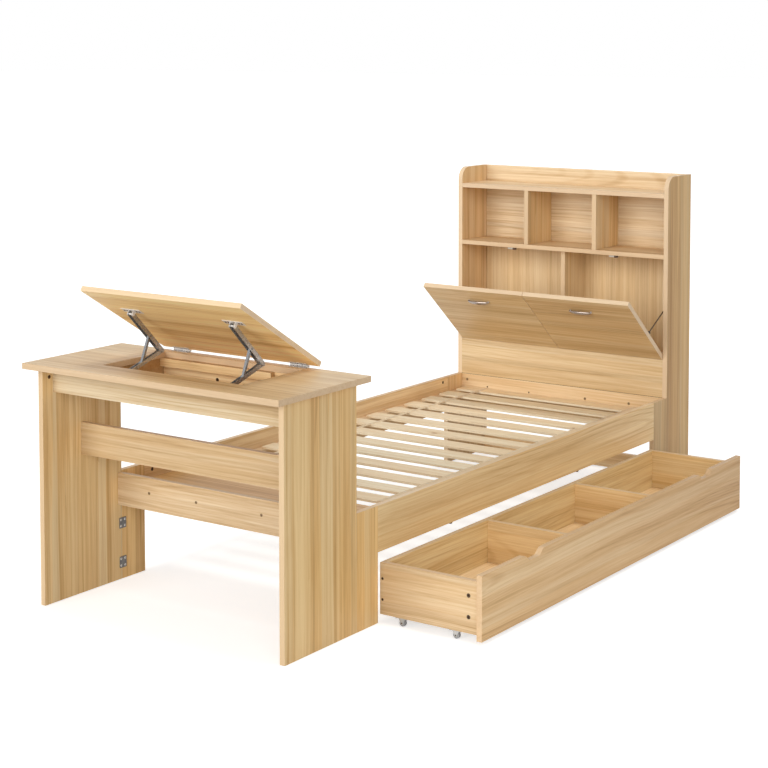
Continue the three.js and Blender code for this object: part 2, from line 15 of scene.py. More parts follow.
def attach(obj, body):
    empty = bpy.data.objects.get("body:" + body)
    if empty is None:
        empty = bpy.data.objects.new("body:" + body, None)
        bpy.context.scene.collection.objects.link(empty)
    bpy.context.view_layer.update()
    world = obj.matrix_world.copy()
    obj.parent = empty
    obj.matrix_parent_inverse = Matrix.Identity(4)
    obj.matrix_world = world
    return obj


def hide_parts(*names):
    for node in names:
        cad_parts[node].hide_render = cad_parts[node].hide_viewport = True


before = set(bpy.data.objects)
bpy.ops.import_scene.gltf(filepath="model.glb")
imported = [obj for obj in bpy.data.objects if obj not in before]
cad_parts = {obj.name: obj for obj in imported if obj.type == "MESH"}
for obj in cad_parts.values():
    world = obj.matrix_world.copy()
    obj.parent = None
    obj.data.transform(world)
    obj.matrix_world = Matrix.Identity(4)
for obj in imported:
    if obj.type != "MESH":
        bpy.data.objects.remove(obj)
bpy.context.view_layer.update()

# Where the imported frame's origin lies, in the bed's own millimetres.
ORIGIN = Vector((170, 1246.5, 0))

BOARD = 18
INSIDE = 454  # from the centre line to the legs, the rails and the bookcase's sides
FOOT_PLANE = 338  # the foot rail's inner face, along the bed
HEAD_PLANE = 2346  # the headboard's front, along the bed
BAY_TOP = 892  # the middle of the shelf over the two door bays

LID_PIN = Vector((0, 383, 753.8))
LID_ANGLE = math.radians(-30.9)
DOOR_PIN = Vector((0, HEAD_PLANE, 498))
DOOR_ANGLE = math.radians(49.8)
ROD_ANGLE = math.radians(28.5)

FIRST_SLAT = 646.4
SLAT_PITCH = 125.2
SLAT_WIDTH = 70
SLATS = 14

SIDES = (("left", -1), ("right", 1))
AXES = {"X": Vector((1, 0, 0)), "Y": Vector((0, 1, 0)), "Z": Vector((0, 0, 1))}
ACROSS, ALONG, UP = AXES["X"], AXES["Y"], AXES["Z"]


def metres(*point):
    """A place in the bed's millimetres as a place in the frame's metres."""
    return (Vector(point) - ORIGIN) / 1000


def turned(pin, angle):
    """Takes a place beside a hinge pin, in millimetres and with the hinge closed, to the frame."""
    return Matrix.Translation(metres(*pin)) @ Matrix.Rotation(angle, 4, "X") @ Matrix.Scale(0.001, 4)


AT_REST = Matrix.Scale(0.001, 4) @ Matrix.Translation(-ORIGIN)
ON_LID = turned(LID_PIN, LID_ANGLE)
ON_DOOR = turned(DOOR_PIN, DOOR_ANGLE)


# Finishes


def rgb(red, green, blue):
    """A display colour from 0 to 255 as the linear colour that a shader takes."""
    shares = (red / 255, green / 255, blue / 255)
    linear = [(c / 12.92 if c <= 0.04045 else ((c + 0.055) / 1.055) ** 2.4) for c in shares]
    return (*linear, 1)


def darkened(colour, share):
    """A linear colour with its light cut to a share."""
    return tuple(c * share for c in colour[:3]) + (1,)


class Finish:
    """A material and its shader nodes."""

    def __init__(self, name, **constants):
        self.material = bpy.data.materials.new(name)
        self.material.use_nodes = True
        self.tree = self.material.node_tree
        self.tree.nodes.clear()
        self.surface = self.tree.nodes.new("ShaderNodeBsdfPrincipled")
        output = self.tree.nodes.new("ShaderNodeOutputMaterial")
        self.tree.links.new(self.surface.outputs[0], output.inputs["Surface"])
        for socket, value in constants.items():
            self.surface.inputs[socket.replace("_", " ")].default_value = value
        self.place = self.add("TexCoord", out="Object")

    def add(self, kind, inputs=None, out=0, **settings):
        node = self.tree.nodes.new("ShaderNode" + kind)
        for name, value in settings.items():
            setattr(node, name, value)
        for socket, value in (inputs or {}).items():
            self.set(node.inputs[socket], value)
        return node.outputs[out]

    def set(self, socket, value):
        if isinstance(value, bpy.types.NodeSocket):
            self.tree.links.new(value, socket)
        else:
            socket.default_value = value

    def paint(self, colour):
        self.set(self.surface.inputs["Base Color"], colour)

    def gloss(self, pattern, smoothest, roughest):
        self.set(self.surface.inputs["Roughness"], self.span(pattern, 0, 1, smoothest, roughest))

    def bump(self, height, strength, distance):
        inputs = {"Height": height, "Strength": strength, "Distance": distance}
        self.set(self.surface.inputs["Normal"], self.add("Bump", inputs))

    def math(self, operation, a, b=0.0):
        return self.add("Math", {0: a, 1: b}, operation=operation)

    def weighted(self, *pairs):
        """The sum of patterns, each times its weight."""
        total = 0.0
        for pattern, weight in pairs:
            total = self.math("ADD", self.math("MULTIPLY", pattern, weight), total)
        return total

    def mix(self, factor, a, b, blend="MIX"):
        return self.add("Mix", {0: factor, 6: a, 7: b}, out=2, data_type="RGBA", blend_type=blend)

    def shaded(self, colour, shade):
        """A colour times another."""
        return self.mix(1.0, colour, shade, blend="MULTIPLY")

    def streaked(self, weight, colour, pattern, streak):
        """A colour with streaks of another where a pattern is strong, at a weight."""
        return self.mix(self.math("MULTIPLY", pattern, weight), colour, streak)

    def span(self, value, low, high, to_low=0.0, to_high=1.0):
        inputs = {"Value": value, "From Min": low, "From Max": high, "To Min": to_low, "To Max": to_high}
        return self.add("MapRange", inputs)

    def noise(self, vector, scale, detail=2.0, roughness=0.5, low=0.3, high=0.7):
        inputs = {"Vector": vector, "Scale": scale, "Detail": detail, "Roughness": roughness}
        return self.span(self.add("TexNoise", inputs), low, high)

    def drawn_out(self, axis, share, place=None):
        """Coordinates drawn out along one axis, so that a pattern becomes grain."""
        scale = [share if name == axis else 1 for name in "XYZ"]
        return self.add("Mapping", {"Vector": place or self.place, "Scale": scale})

    def cells(self, axis, share, place, scale):
        """A colour by chance for each of many long cells."""
        pattern = {"Vector": self.drawn_out(axis, share, place), "Scale": scale}
        return self.add("TexVoronoi", pattern, out="Color")

    def streaks(self, axis, share, place=None, **pattern):
        """Noise drawn out along one axis."""
        return self.noise(self.drawn_out(axis, share, place), **pattern)

    def swell(self, axis, share, place, scale, distortion):
        """Slow, smooth noise drawn out along one axis, whose level lines are growth rings."""
        pattern = {"Vector": self.drawn_out(axis, share, place), "Scale": scale}
        return self.add("TexNoise", {**pattern, "Detail": 1.0, "Distortion": distortion})


PALE_OAK = rgb(242, 215, 174)
MID_OAK = rgb(223, 189, 142)
DEEP_OAK = rgb(190, 150, 100)
GOLDEN_STAVE = (1.02, 0.975, 0.89, 1)
ASHEN_STAVE = (0.99, 1.01, 1.05, 1)
BAND_OAK = rgb(219, 190, 155)
# Painted light: a paler edge band for boards whose edges catch the light full on
LIT_EDGE_BAND = rgb(230, 205, 174)
# Painted shade: the dark band on the side walls and floor inside the desk's compartment
SHADED_WALL_BAND = rgb(166, 120, 70)

# How much of the print is staves and how much is flame, with the grain upright or level
UPRIGHT_STAVES, UPRIGHT_FIGURE = 0.52, 0.06
LEVEL_STAVES, LEVEL_FIGURE = 0.2, 0.14
CALM_UPRIGHT = 0.35  # how far the upright print behind the doors fades to the middle tone

GRAIN_SWAY = (0.01, 0.01, 0.01)  # metres that the grain wanders
SHEET_STEP = (0.63, 0.41, 0.87)  # metres on the printed sheet from one board's cut to the next
OAK_RINGS = 190.0  # how closely the growth lines of a flame lie
BAND_TINGE = 0.3  # how much of the print's tone shows in an edge band


def grain_colour(finish, grain, shift, staves, figure):
    """The laminate's printed oak: staves side by side, thin growth lines and fine fibres along the grain."""
    place = finish.add("Mapping", {"Vector": finish.place, "Location": shift})
    sway = finish.add("TexNoise", {"Vector": place, "Scale": 2.4, "Detail": 1.0}, out="Color")
    place = finish.add("VectorMath", {0: sway, 1: GRAIN_SWAY, 2: place}, operation="MULTIPLY_ADD")

    stave = finish.cells(grain, 0.006, place, scale=21.0)
    tone_of_stave = finish.add("SeparateColor", {0: stave})
    hue_of_stave = finish.add("SeparateColor", {0: stave}, out=1)
    strip = finish.add("SeparateColor", {0: finish.cells(grain, 0.01, place, scale=105.0)})
    line = finish.add("SeparateColor", {0: finish.cells(grain, 0.012, place, scale=290.0)})

    swell = finish.swell(grain, 0.07, place, scale=5.0, distortion=0.15)
    rings = finish.math("SINE", finish.math("MULTIPLY", swell, OAK_RINGS))
    flame = finish.streaks(grain, 0.15, place, scale=4.5, detail=1, low=0.42, high=0.6)
    rings = finish.math("MULTIPLY", finish.span(rings, 0.35, 1.0), flame)
    bands = finish.streaks(grain, 0.03, place, scale=24, roughness=0.6, low=0.34, high=0.66)
    fibres = finish.streaks(grain, 0.016, place, scale=150, detail=3, roughness=0.65, low=0.34, high=0.66)
    pores = finish.streaks(grain, 0.03, place, scale=800, roughness=0.6, low=0.45, high=0.72)

    rest = 1 - staves - figure
    tone = finish.weighted(
        (tone_of_stave, staves * 0.5),
        (strip, staves * 0.34),
        (line, staves * 0.16),
        (rings, figure),
        (bands, rest * 0.44),
        (fibres, rest * 0.44),
        (pores, rest * 0.12),
    )
    colour = finish.mix(finish.span(tone, 0.16, 0.48), PALE_OAK, MID_OAK)
    colour = finish.mix(finish.span(tone, 0.48, 0.8), colour, DEEP_OAK)
    thread = finish.span(line, 0.86, 0.9, 0.0, staves * 0.7)
    colour = finish.mix(thread, colour, PALE_OAK)
    lean = finish.mix(finish.span(hue_of_stave, 0.3, 0.7), ASHEN_STAVE, GOLDEN_STAVE)
    colour = finish.mix(0.25 + staves * 1.3, colour, lean, blend="MULTIPLY")
    return colour, fibres, pores


def laminate(name, board, number):
    """Oak laminate on one board. Its broad faces carry the print; the others are edge band."""
    finish = Finish(name, Specular_IOR_Level=0.28)
    shift = tuple(number * step for step in SHEET_STEP)
    printed, fibres, pores = grain_colour(finish, board.grain, shift, board.staves, board.figure)
    # The board's painted light and shade, with some of the sheet's own tone
    colour = finish.shaded(printed, board.shade)
    if board.face:
        normal = finish.add("TexCoord", out="Normal")
        square = finish.add("VectorMath", {0: normal, 1: board.face}, out="Value", operation="DOT_PRODUCT")
    # The broad face that looks the way of face goes without the painted light and shade
    if board.plain_behind:
        colour = finish.mix(finish.math("GREATER_THAN", square, 0.0), colour, printed)
    if board.upright_below:
        level, shade = board.upright_below
        upright, _, _ = grain_colour(finish, "Z", shift, LEVEL_STAVES, UPRIGHT_FIGURE)
        # The upright part carries its own painted light and shade
        upright = finish.shaded(finish.mix(CALM_UPRIGHT, upright, MID_OAK), shade)
        height = finish.add("SeparateXYZ", {0: finish.place}, out="Z")
        over = finish.math("GREATER_THAN", height, metres(0, 0, level).z)
        colour = finish.mix(over, upright, colour)
    if board.face:
        # Edge band on the other faces, painted lighter or darker on some boards for light and shade
        broad = finish.span(finish.math("ABSOLUTE", square), 0.6, 0.85)
        band = finish.mix(BAND_TINGE, board.band, colour)
        colour = finish.mix(broad, band, colour)
    # Painted shade that darkens the tone along the bed
    if board.painted_shade_along:
        start, end, far_shade = board.painted_shade_along
        along = finish.add("SeparateXYZ", {0: finish.place}, out="Y")
        into_shade = finish.span(along, metres(0, start, 0).y, metres(0, end, 0).y)
        colour = finish.mix(into_shade, colour, finish.shaded(colour, far_shade))
    finish.paint(colour)
    finish.gloss(fibres, smoothest=0.36, roughest=0.48)
    finish.bump(finish.math("ADD", fibres, pores), strength=0.12, distance=0.0002)
    return finish.material


PINE_SHIFT = 7.3  # metres of plank that the slats are cut from, each at a place of its own
PINE_RINGS = 80.0
KNOTS = 5.5  # to the metre


def pine():
    """Planed softwood slats, each with its own tone, growth lines and a few small knots."""
    finish = Finish("planed_pine", Specular_IOR_Level=0.3)
    along = finish.add("SeparateXYZ", {0: finish.place}, out="Y")
    from_first = finish.math("SUBTRACT", along, metres(0, FIRST_SLAT, 0).y)
    slat = finish.math("FLOOR", finish.math("DIVIDE", from_first, SLAT_PITCH / 1000))
    luck = finish.add("TexWhiteNoise", {"W": slat}, out="Value", noise_dimensions="1D")
    moved_on = finish.add("CombineXYZ", {"X": finish.math("MULTIPLY", luck, PINE_SHIFT), "Z": luck})
    place = finish.add("VectorMath", {0: finish.place, 1: moved_on}, operation="ADD")

    swell = finish.swell("X", 0.07, place, scale=9.0, distortion=0.3)
    rings = finish.math("SINE", finish.math("MULTIPLY", swell, PINE_RINGS))
    rings = finish.span(rings, -0.3, 1.0)
    streaks = finish.streaks("X", 0.03, place, scale=90, detail=3, roughness=0.6, low=0.35, high=0.68)
    fibres = finish.streaks("X", 0.03, place, scale=460, roughness=0.6)
    broad = finish.streaks("X", 0.05, place, scale=18, detail=1, low=0.35, high=0.65)

    colour = finish.mix(luck, rgb(255, 246, 218), rgb(255, 236, 202))
    colour = finish.streaked(0.3, colour, rings, rgb(230, 196, 150))
    colour = finish.streaked(0.3, colour, streaks, rgb(222, 186, 140))
    colour = finish.streaked(0.2, colour, fibres, rgb(200, 160, 112))
    colour = finish.streaked(0.2, colour, broad, rgb(238, 206, 164))
    oval = finish.add("Mapping", {"Vector": place, "Scale": (0.55, 1, 1)})
    spots = finish.add("TexVoronoi", {"Vector": oval, "Scale": KNOTS}, out="Distance")
    halo = finish.span(spots, 0.03, 0.11, 0.45, 0.0)
    colour = finish.mix(halo, colour, rgb(205, 158, 104))
    knot = finish.span(spots, 0.03, 0.055, 0.8, 0.0)
    colour = finish.mix(knot, colour, rgb(140, 88, 48))
    finish.paint(colour)
    finish.gloss(streaks, smoothest=0.52, roughest=0.68)
    finish.bump(finish.weighted((fibres, 0.6), (rings, 0.4)), strength=0.2, distance=0.0003)
    return finish.material


def metal(name, colour, roughness, along, streak=0.25, metallic=1.0):
    """Sheet metal with a faint rolled or brushed lay along one axis, and small cloudy marks."""
    finish = Finish(name, Metallic=metallic)
    lay = finish.streaks(along, 0.04, scale=2600, roughness=0.6)
    clouds = finish.noise(finish.place, scale=90, detail=3, roughness=0.6, low=0.35, high=0.65)
    marks = finish.weighted((lay, 0.6), (clouds, 0.4))
    finish.paint(finish.mix(marks, colour, darkened(colour, 1 - streak)))
    finish.gloss(clouds, smoothest=roughness * 0.8, roughest=roughness * 1.25)
    finish.bump(lay, strength=0.08, distance=0.00005)
    return finish.material


def plastic(name, colour, roughness):
    """Moulded plastic with a fine spark-eroded texture and a little unevenness in its tone."""
    finish = Finish(name, Specular_IOR_Level=0.45)
    speckle = finish.noise(finish.place, scale=2200)
    clouds = finish.noise(finish.place, scale=60, low=0.35, high=0.65)
    finish.paint(finish.mix(clouds, colour, darkened(colour, 0.86)))
    finish.gloss(speckle, smoothest=roughness - 0.06, roughest=roughness + 0.08)
    finish.bump(speckle, strength=0.15, distance=0.00004)
    return finish.material


def webbing():
    """The woven tape that holds the slats apart."""
    finish = Finish("slat_tape", Roughness=0.85, Sheen_Weight=0.2)
    weave = {"Vector": finish.place, "Scale": 420.0}
    ribs = finish.add("TexWave", weave, out="Fac", bands_direction="Y")
    threads = finish.add("TexWave", weave, out="Fac", bands_direction="X")
    crossings = finish.math("MULTIPLY", ribs, threads)
    finish.paint(finish.mix(crossings, rgb(226, 198, 156), rgb(244, 222, 186)))
    finish.bump(crossings, strength=0.5, distance=0.0004)
    return finish.material


def recess_shade_finish():
    """Painted shade, dark brown, for the inside of holes, sockets, cross recesses and joints, which are
    barely sunk.
    """
    finish = Finish("recess_painted_shade", Roughness=0.9, Specular_IOR_Level=0.1)
    rough = finish.noise(finish.place, scale=900, roughness=0.6)
    finish.paint(finish.mix(rough, rgb(74, 50, 30), rgb(44, 30, 18)))
    return finish.material


ZINC = metal("zinc_plated_steel", rgb(188, 187, 185), 0.26, "Y", streak=0.26, metallic=0.75)
PALE_ZINC = metal("pale_zinc_plate", rgb(238, 236, 233), 0.36, "X", streak=0.14, metallic=0.3)
HINGE_STEEL = metal("hinge_steel", rgb(214, 210, 206), 0.28, "X", streak=0.2, metallic=0.6)
SATIN_NICKEL = metal("satin_nickel", rgb(166, 154, 146), 0.2, "X", streak=0.18)
PLATE_STEEL = metal("rolled_steel_plate", rgb(122, 122, 122), 0.4, "Z", streak=0.3, metallic=0.6)
DARK_STEEL = metal("blackened_steel", rgb(86, 70, 56), 0.42, "Y", streak=0.3, metallic=0.7)
BRONZED_STEEL = metal("bronzed_steel", rgb(156, 128, 92), 0.5, "Y", metallic=0.3)
LINK_STEEL = metal("brushed_steel_strip", rgb(150, 152, 155), 0.26, "Y", streak=0.3, metallic=0.8)
GREY_PLASTIC = plastic("caster_grey_plastic", rgb(190, 190, 188), 0.46)
TREAD = plastic("caster_tread", rgb(164, 165, 166), 0.55)
PALE_PLASTIC = plastic("catch_white_plastic", rgb(226, 222, 212), 0.42)
BROWN_PLASTIC = plastic("stop_brown_plastic", rgb(92, 68, 46), 0.5)
TAPE = webbing()
RECESS_SHADE = recess_shade_finish()


# Boards


# How a board's colour leans away from the common tone: partly the sheet's own, partly painted light and
# shade
PLAIN = (1.0, 1.0, 1.0)
# Painted shade: warmer, as on board faces turned away from the light
WARM_SHADE_TINT = (1.06, 1.03, 0.86)
# Painted light: cooler, as on faces lit from above and from the front
COOL_LIGHT_TINT = (0.96, 1.02, 1.08)


class Board:
    """How one board is laminated.

    The grain runs along an axis and the broad faces look along `face`. Without it every side is printed.
    The shade and the tint lean the print away from the common tone, and `figure` is how much flame it has.
    Both are partly painted light and shade, for how the board is lit, and partly the sheet's own tone.
    With `plain_behind`, the broad face that looks the way of `face` keeps the common tone, so the painted
    light and shade lie on the other broad face only.
    `upright_below` is a level and the painted light and shade under it, where the grain stands upright.
    `painted_shade_along` says from where to where along the bed painted shade darkens the tone, and to which
    share of its light.
    """

    def __init__(
        self,
        grain,
        face,
        shade=1.0,
        tint=PLAIN,
        *,
        figure=None,
        band=BAND_OAK,
        plain_behind=False,
        upright_below=None,
        painted_shade_along=None,
    ):
        self.grain = grain
        self.face = face
        self.shade = (*(shade * share for share in tint), 1)
        self.staves = UPRIGHT_STAVES if grain == "Z" else LEVEL_STAVES
        self.figure = figure or (UPRIGHT_FIGURE if grain == "Z" else LEVEL_FIGURE)
        self.band = band
        self.plain_behind = plain_behind
        self.upright_below = upright_below
        self.painted_shade_along = painted_shade_along


LID_FACE = Matrix.Rotation(LID_ANGLE, 3, "X") @ UP
DOOR_FACE = Matrix.Rotation(DOOR_ANGLE, 3, "X") @ ALONG

# Where painted shade darkens a board or its grain turns, and the painted light and shade there
# Painted shade of the desk on the deck behind the foot rail, over a board a little darker of its own
DECK_SHADE = (FOOT_PLANE, FOOT_PLANE + 1, (0.8, 0.63, 0.41, 1))
# Painted shade along the drawer front, growing towards the head end, away from the light
FRONT_IN_SHADE = (450, 2230, (0.74, 0.68, 0.61, 1))
# Painted light and shade on the bays' backs behind the doors, where the grain stands upright
BEHIND_DOORS = (BAY_TOP, (1.02, 1.08, 1.12, 1))

# Each board's shade and tint, here and below, are partly painted light and shade, partly the sheet's tone
BOOKCASE_DIVIDER = Board("Z", ACROSS, 0.97, (0.99, 1.01, 0.98))
DRAWER_DIVIDER = Board("X", ALONG, 1.08, (0.96, 0.99, 0.95))

BOARDS = {
    "desk_top": Board("X", UP, 0.91),
    "desk_side_left": Board("Z", ACROSS, 1.12, (0.98, 1.04, 1.02)),
    "desk_side_right": Board("Z", ACROSS, 0.96, WARM_SHADE_TINT),
    "desk_apron": Board("X", ALONG, 0.9, COOL_LIGHT_TINT),
    "modesty_board": Board("X", ALONG, 0.81),
    "foot_rail": Board("X", None, 0.99, (0.96, 1.0, 1.08), painted_shade_along=DECK_SHADE),
    "desk_compartment": Board("X", ALONG, 1.2, (1.0, 1.03, 1.0), band=SHADED_WALL_BAND),
    "desk_lid": Board("X", LID_FACE, 1.19, (1.02, 1.04, 0.88), band=LIT_EDGE_BAND, plain_behind=True),
    "foot_leg_left": Board("Z", ACROSS, 1.05, WARM_SHADE_TINT),
    "foot_leg_right": Board("Z", ACROSS, 1.03, WARM_SHADE_TINT),
    "head_leg_left": Board("Z", ACROSS),
    "head_leg_right": Board("Z", ACROSS, 0.7, (1.08, 1.02, 0.84)),
    "side_rail_left": Board("Y", ACROSS, 1.05),
    "side_rail_right": Board("Y", ACROSS, 1.0, (1.03, 1.03, 0.92), figure=0.24, band=LIT_EDGE_BAND),
    "head_rail": Board("X", ALONG, 0.98),
    "headboard_side_left": Board("Z", ACROSS, band=LIT_EDGE_BAND),
    "headboard_side_right": Board("Z", ACROSS, 0.67, (1.13, 1.01, 0.76), band=LIT_EDGE_BAND),
    "top_shelf": Board("X", UP, 0.99, (0.99, 1.01, 1.11)),
    "middle_shelf": Board("X", UP),
    "bay_floor": Board("X", UP),
    "upper_divider_left": BOOKCASE_DIVIDER,
    "upper_divider_right": BOOKCASE_DIVIDER,
    "bay_divider": BOOKCASE_DIVIDER,
    "lower_panel": Board("X", ALONG, 0.88, (0.99, 1.01, 1.01)),
    "back_panel": Board("X", ALONG, 1.04, (0.93, 1.02, 1.18), plain_behind=True, upright_below=BEHIND_DOORS),
    "back_stretcher": Board("X", ALONG, 1.2),
    "flap_door_left": Board("X", DOOR_FACE, 0.78, (1.02, 1.0, 0.91), band=LIT_EDGE_BAND),
    "flap_door_right": Board("X", DOOR_FACE, 0.74, (1.04, 1.0, 0.88), band=LIT_EDGE_BAND),
    "drawer_front": Board("Y", ACROSS, 0.97, (1.08, 1.02, 0.91), figure=0.26, painted_shade_along=FRONT_IN_SHADE),
    "drawer_back": Board("Y", ACROSS, 1.14, (0.95, 1.03, 0.99)),
    "drawer_end_foot": Board("X", ALONG, 0.95, (0.97, 1.0, 1.06), figure=0.2),
    "drawer_end_head": Board("X", ALONG, 1.0, (0.96, 0.99, 0.92), figure=0.2),
    "drawer_bottom": Board("Y", UP, 1.25, COOL_LIGHT_TINT),
    "drawer_divider_foot": DRAWER_DIVIDER,
    "drawer_divider_head": DRAWER_DIVIDER,
}

# How far the arrises are eased, in millimetres
BOARD_EASE = 0.7
SLAT_EASE = 1.2
BRACKET_EASE = 0.4
ARM_EASE = 0.5


def wear(node, material):
    """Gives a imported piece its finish."""
    mesh_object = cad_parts[node]
    mesh_object.data.materials.clear()
    mesh_object.data.materials.append(material)


def ease_edges(node, width):
    """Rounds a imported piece's arrises with modifiers, which leave its mesh alone."""
    mesh_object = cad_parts[node]
    weld = mesh_object.modifiers.new("joined_faces", "WELD")
    weld.merge_threshold = 0.00001
    bevel = mesh_object.modifiers.new("eased_edges", "BEVEL")
    bevel.width = width / 1000
    bevel.segments = 2
    bevel.limit_method = "ANGLE"
    bevel.angle_limit = math.radians(40)


def dress_boards():
    for number, (node, board) in enumerate(BOARDS.items(), start=1):
        wear(node, laminate(f"oak_{node}", board, number))
        ease_edges(node, BOARD_EASE)


def dress_slats():
    wear("slat_base", pine())
    ease_edges("slat_base", SLAT_EASE)


def dress_stays():
    """The lid stays' brackets, arms and links, and the doors' outer rods."""
    for side, _ in SIDES:
        for part in ("lid_bracket", "base_bracket"):
            wear(f"stay_{part}_{side}", PALE_ZINC)
            ease_edges(f"stay_{part}_{side}", BRACKET_EASE)
        for part, material in (("upper_arm", ZINC), ("lower_arm", ZINC), ("link", LINK_STEEL)):
            wear(f"stay_{part}_{side}", material)
            ease_edges(f"stay_{part}_{side}", ARM_EASE)
        wear(f"door_stay_{side}", DARK_STEEL)


# Shapes, each a mesh of its own in millimetres


SMOOTH_UP_TO = math.radians(35)
RIM_ANGLE = math.radians(60)


def block(low, high, ease=0.2):
    """A rectangular block between two corners, with eased edges."""
    low, high = Vector(low), Vector(high)
    shape = bmesh.new()
    place = Matrix.Translation((low + high) / 2) @ Matrix.Diagonal((*(high - low), 1))
    bmesh.ops.create_cube(shape, size=1, matrix=place)
    if ease:
        soften(shape, shape.edges, ease)
    return shape


def soften(shape, edges, width, segments=1):
    bmesh.ops.bevel(
        shape,
        geom=list(edges),
        offset=width,
        offset_type="OFFSET",
        segments=segments,
        profile=0.5,
        affect="EDGES",
        material=-1,
        clamp_overlap=True,
    )


def rims(shape):
    """The edges where faces meet sharply."""
    return [edge for edge in shape.edges if edge.calc_face_angle(0) > RIM_ANGLE]


def runs_along(edge, direction):
    span = edge.verts[0].co - edge.verts[1].co
    return abs(span.normalized().dot(direction)) > 0.9


def sheet(low, high, thin, corner, ease=0.25):
    """A flat piece with round corners, thin along one axis."""
    shape = block(low, high, ease=0)
    corners = [edge for edge in shape.edges if runs_along(edge, AXES[thin])]
    soften(shape, corners, corner, segments=5)
    soften(shape, rims(shape), ease)
    return shape


def facing(normal):
    """Turns what looks up to look along a direction."""
    return UP.rotation_difference(Vector(normal)).to_matrix().to_4x4()


def lathe(profile, centre, normal, segments=28):
    """A round piece: the profile's distances from the axis and heights along `normal` from `centre`."""
    shape = bmesh.new()
    points = [shape.verts.new((radius, 0, height)) for radius, height in profile]
    line = [shape.edges.new(pair) for pair in zip(points, points[1:])]
    bmesh.ops.spin(
        shape,
        geom=points + line,
        cent=(0, 0, 0),
        axis=(0, 0, 1),
        dvec=(0, 0, 0),
        angle=2 * math.pi,
        steps=segments,
        use_merge=True,
    )
    bmesh.ops.remove_doubles(shape, verts=shape.verts, dist=0.0001)
    return moved(shape, Matrix.Translation(centre) @ facing(normal))


def rod(start, end, radius, segments=16):
    """A round bar with chamfered ends."""
    start, end = Vector(start), Vector(end)
    length = (end - start).length
    chamfer = radius * 0.2
    profile = ((0, 0), (radius - chamfer, 0), (radius, chamfer), (radius, length - chamfer))
    profile += ((radius - chamfer, length), (0, length))
    return lathe(profile, start, end - start, segments)


def moved(shape, matrix):
    bmesh.ops.transform(shape, matrix=matrix, verts=shape.verts)
    return shape


class Piece:
    """A new piece of the bed, put together from shapes in millimetres."""

    def __init__(self, name, body, slot, *finishes, on=AT_REST):
        self.name = name
        self.body = body
        self.slot = slot
        self.finishes = finishes
        self.on = on
        self.whole = bmesh.new()

    def take(self, shape, finish=0):
        """Adds a shape, with the finish of that number."""
        for face in shape.faces:
            face.material_index = finish
        carrier = bpy.data.meshes.new("carrier")
        shape.to_mesh(carrier)
        shape.free()
        self.whole.from_mesh(carrier)
        bpy.data.meshes.remove(carrier)

    def screw(self, centre, normal, radius, height=0.8):
        """A raised countersunk head, with a barely sunk cross recess whose second finish is painted shade.
        """
        flat = radius * 0.55
        profile = ((0, height), (flat, height), (radius * 0.85, height * 0.6), (radius, 0), (0, 0))
        self.take(lathe(profile, centre, normal, segments=20))
        place = Matrix.Translation(Vector(centre) + Vector(normal) * height) @ facing(normal)
        long, short = radius * 0.5, radius * 0.13
        for reach_x, reach_y in ((long, short), (short, long)):
            slot = block((-reach_x, -reach_y, -0.3), (reach_x, reach_y, 0.04), ease=0)
            self.take(moved(slot, place), 1)

    def finished(self, *nodes):
        """Makes the object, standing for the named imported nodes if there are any."""
        moved(self.whole, self.on)
        bmesh.ops.recalc_face_normals(self.whole, faces=self.whole.faces)
        for face in self.whole.faces:
            face.smooth = True
        for edge in self.whole.edges:
            edge.smooth = edge.calc_face_angle(0) < SMOOTH_UP_TO
        mesh = bpy.data.meshes.new(self.name)
        self.whole.to_mesh(mesh)
        self.whole.free()
        for finish in self.finishes:
            mesh.materials.append(finish)
        made = bpy.data.objects.new(self.name, mesh)
        bpy.context.scene.collection.objects.link(made)
        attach(made, self.body)
        if nodes:
            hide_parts(*nodes)


# Joining plates across the joint between the desk's sides and the foot legs


PLATE_THICK = 1.5
PLATE_START, PLATE_END = 325, 356  # along the bed
PLATE_LEVELS = {"upper": (164, 199), "lower": (36, 73)}
PLATE_SCREW_IN = 6.5  # from the plate's end to its screws
PLATE_SCREW_UP = 7.5


def make_joining_plates():
    for side, sign in SIDES:
        face = sign * INSIDE
        inner = sign * (INSIDE - PLATE_THICK)
        for level, (bottom, top) in PLATE_LEVELS.items():
            plate = Piece(f"joining_plate_{level}_{side}", "bed", "stay_steel", PALE_ZINC, PLATE_STEEL)
            plate.take(sheet((face, PLATE_START, bottom), (inner, PLATE_END, top), "X", corner=3), 1)
            for y in (PLATE_START + PLATE_SCREW_IN, PLATE_END - PLATE_SCREW_IN):
                for z in (bottom + PLATE_SCREW_UP, top - PLATE_SCREW_UP):
                    plate.screw((inner, y, z), (-sign, 0, 0), radius=3.8, height=0.9)
            plate.finished()


# Lid hinges: butt hinges between the desk top's back edge and the lid, one leaf on each


HINGE_PLACE = 231  # from the centre line to the hinge's middle
HINGE_HALF = 34
HINGE_SCREWS = (-25, 0, 25)  # from the hinge's middle
HINGE_SCREW_ROW = -10  # along the bed from the pin
LEAF_DEPTH = 16
DESK_LEAF = (-3.5, -2)  # its underside and top, over the pin
LID_LEAF = (0.7, 2.2)
DESK_LEAF_END = -1  # along the bed from the pin
LID_LEAF_END = -2.6
LEAF_CORNER = 3
HINGE_SCREW = {"radius": 2.6, "height": 0.35}
KNUCKLES = 5
KNUCKLE_RADIUS = 3.4
KNUCKLE_GAP = 0.3


def knuckle_segments(owner):
    """The knuckles share the hinge's length. Those with an even number belong to the desk."""
    length = 2 * HINGE_HALF / KNUCKLES
    for number in range(KNUCKLES):
        if (number % 2 == 0) == (owner == "desk"):
            start = -HINGE_HALF + number * length + KNUCKLE_GAP / 2
            yield start, start + length - KNUCKLE_GAP


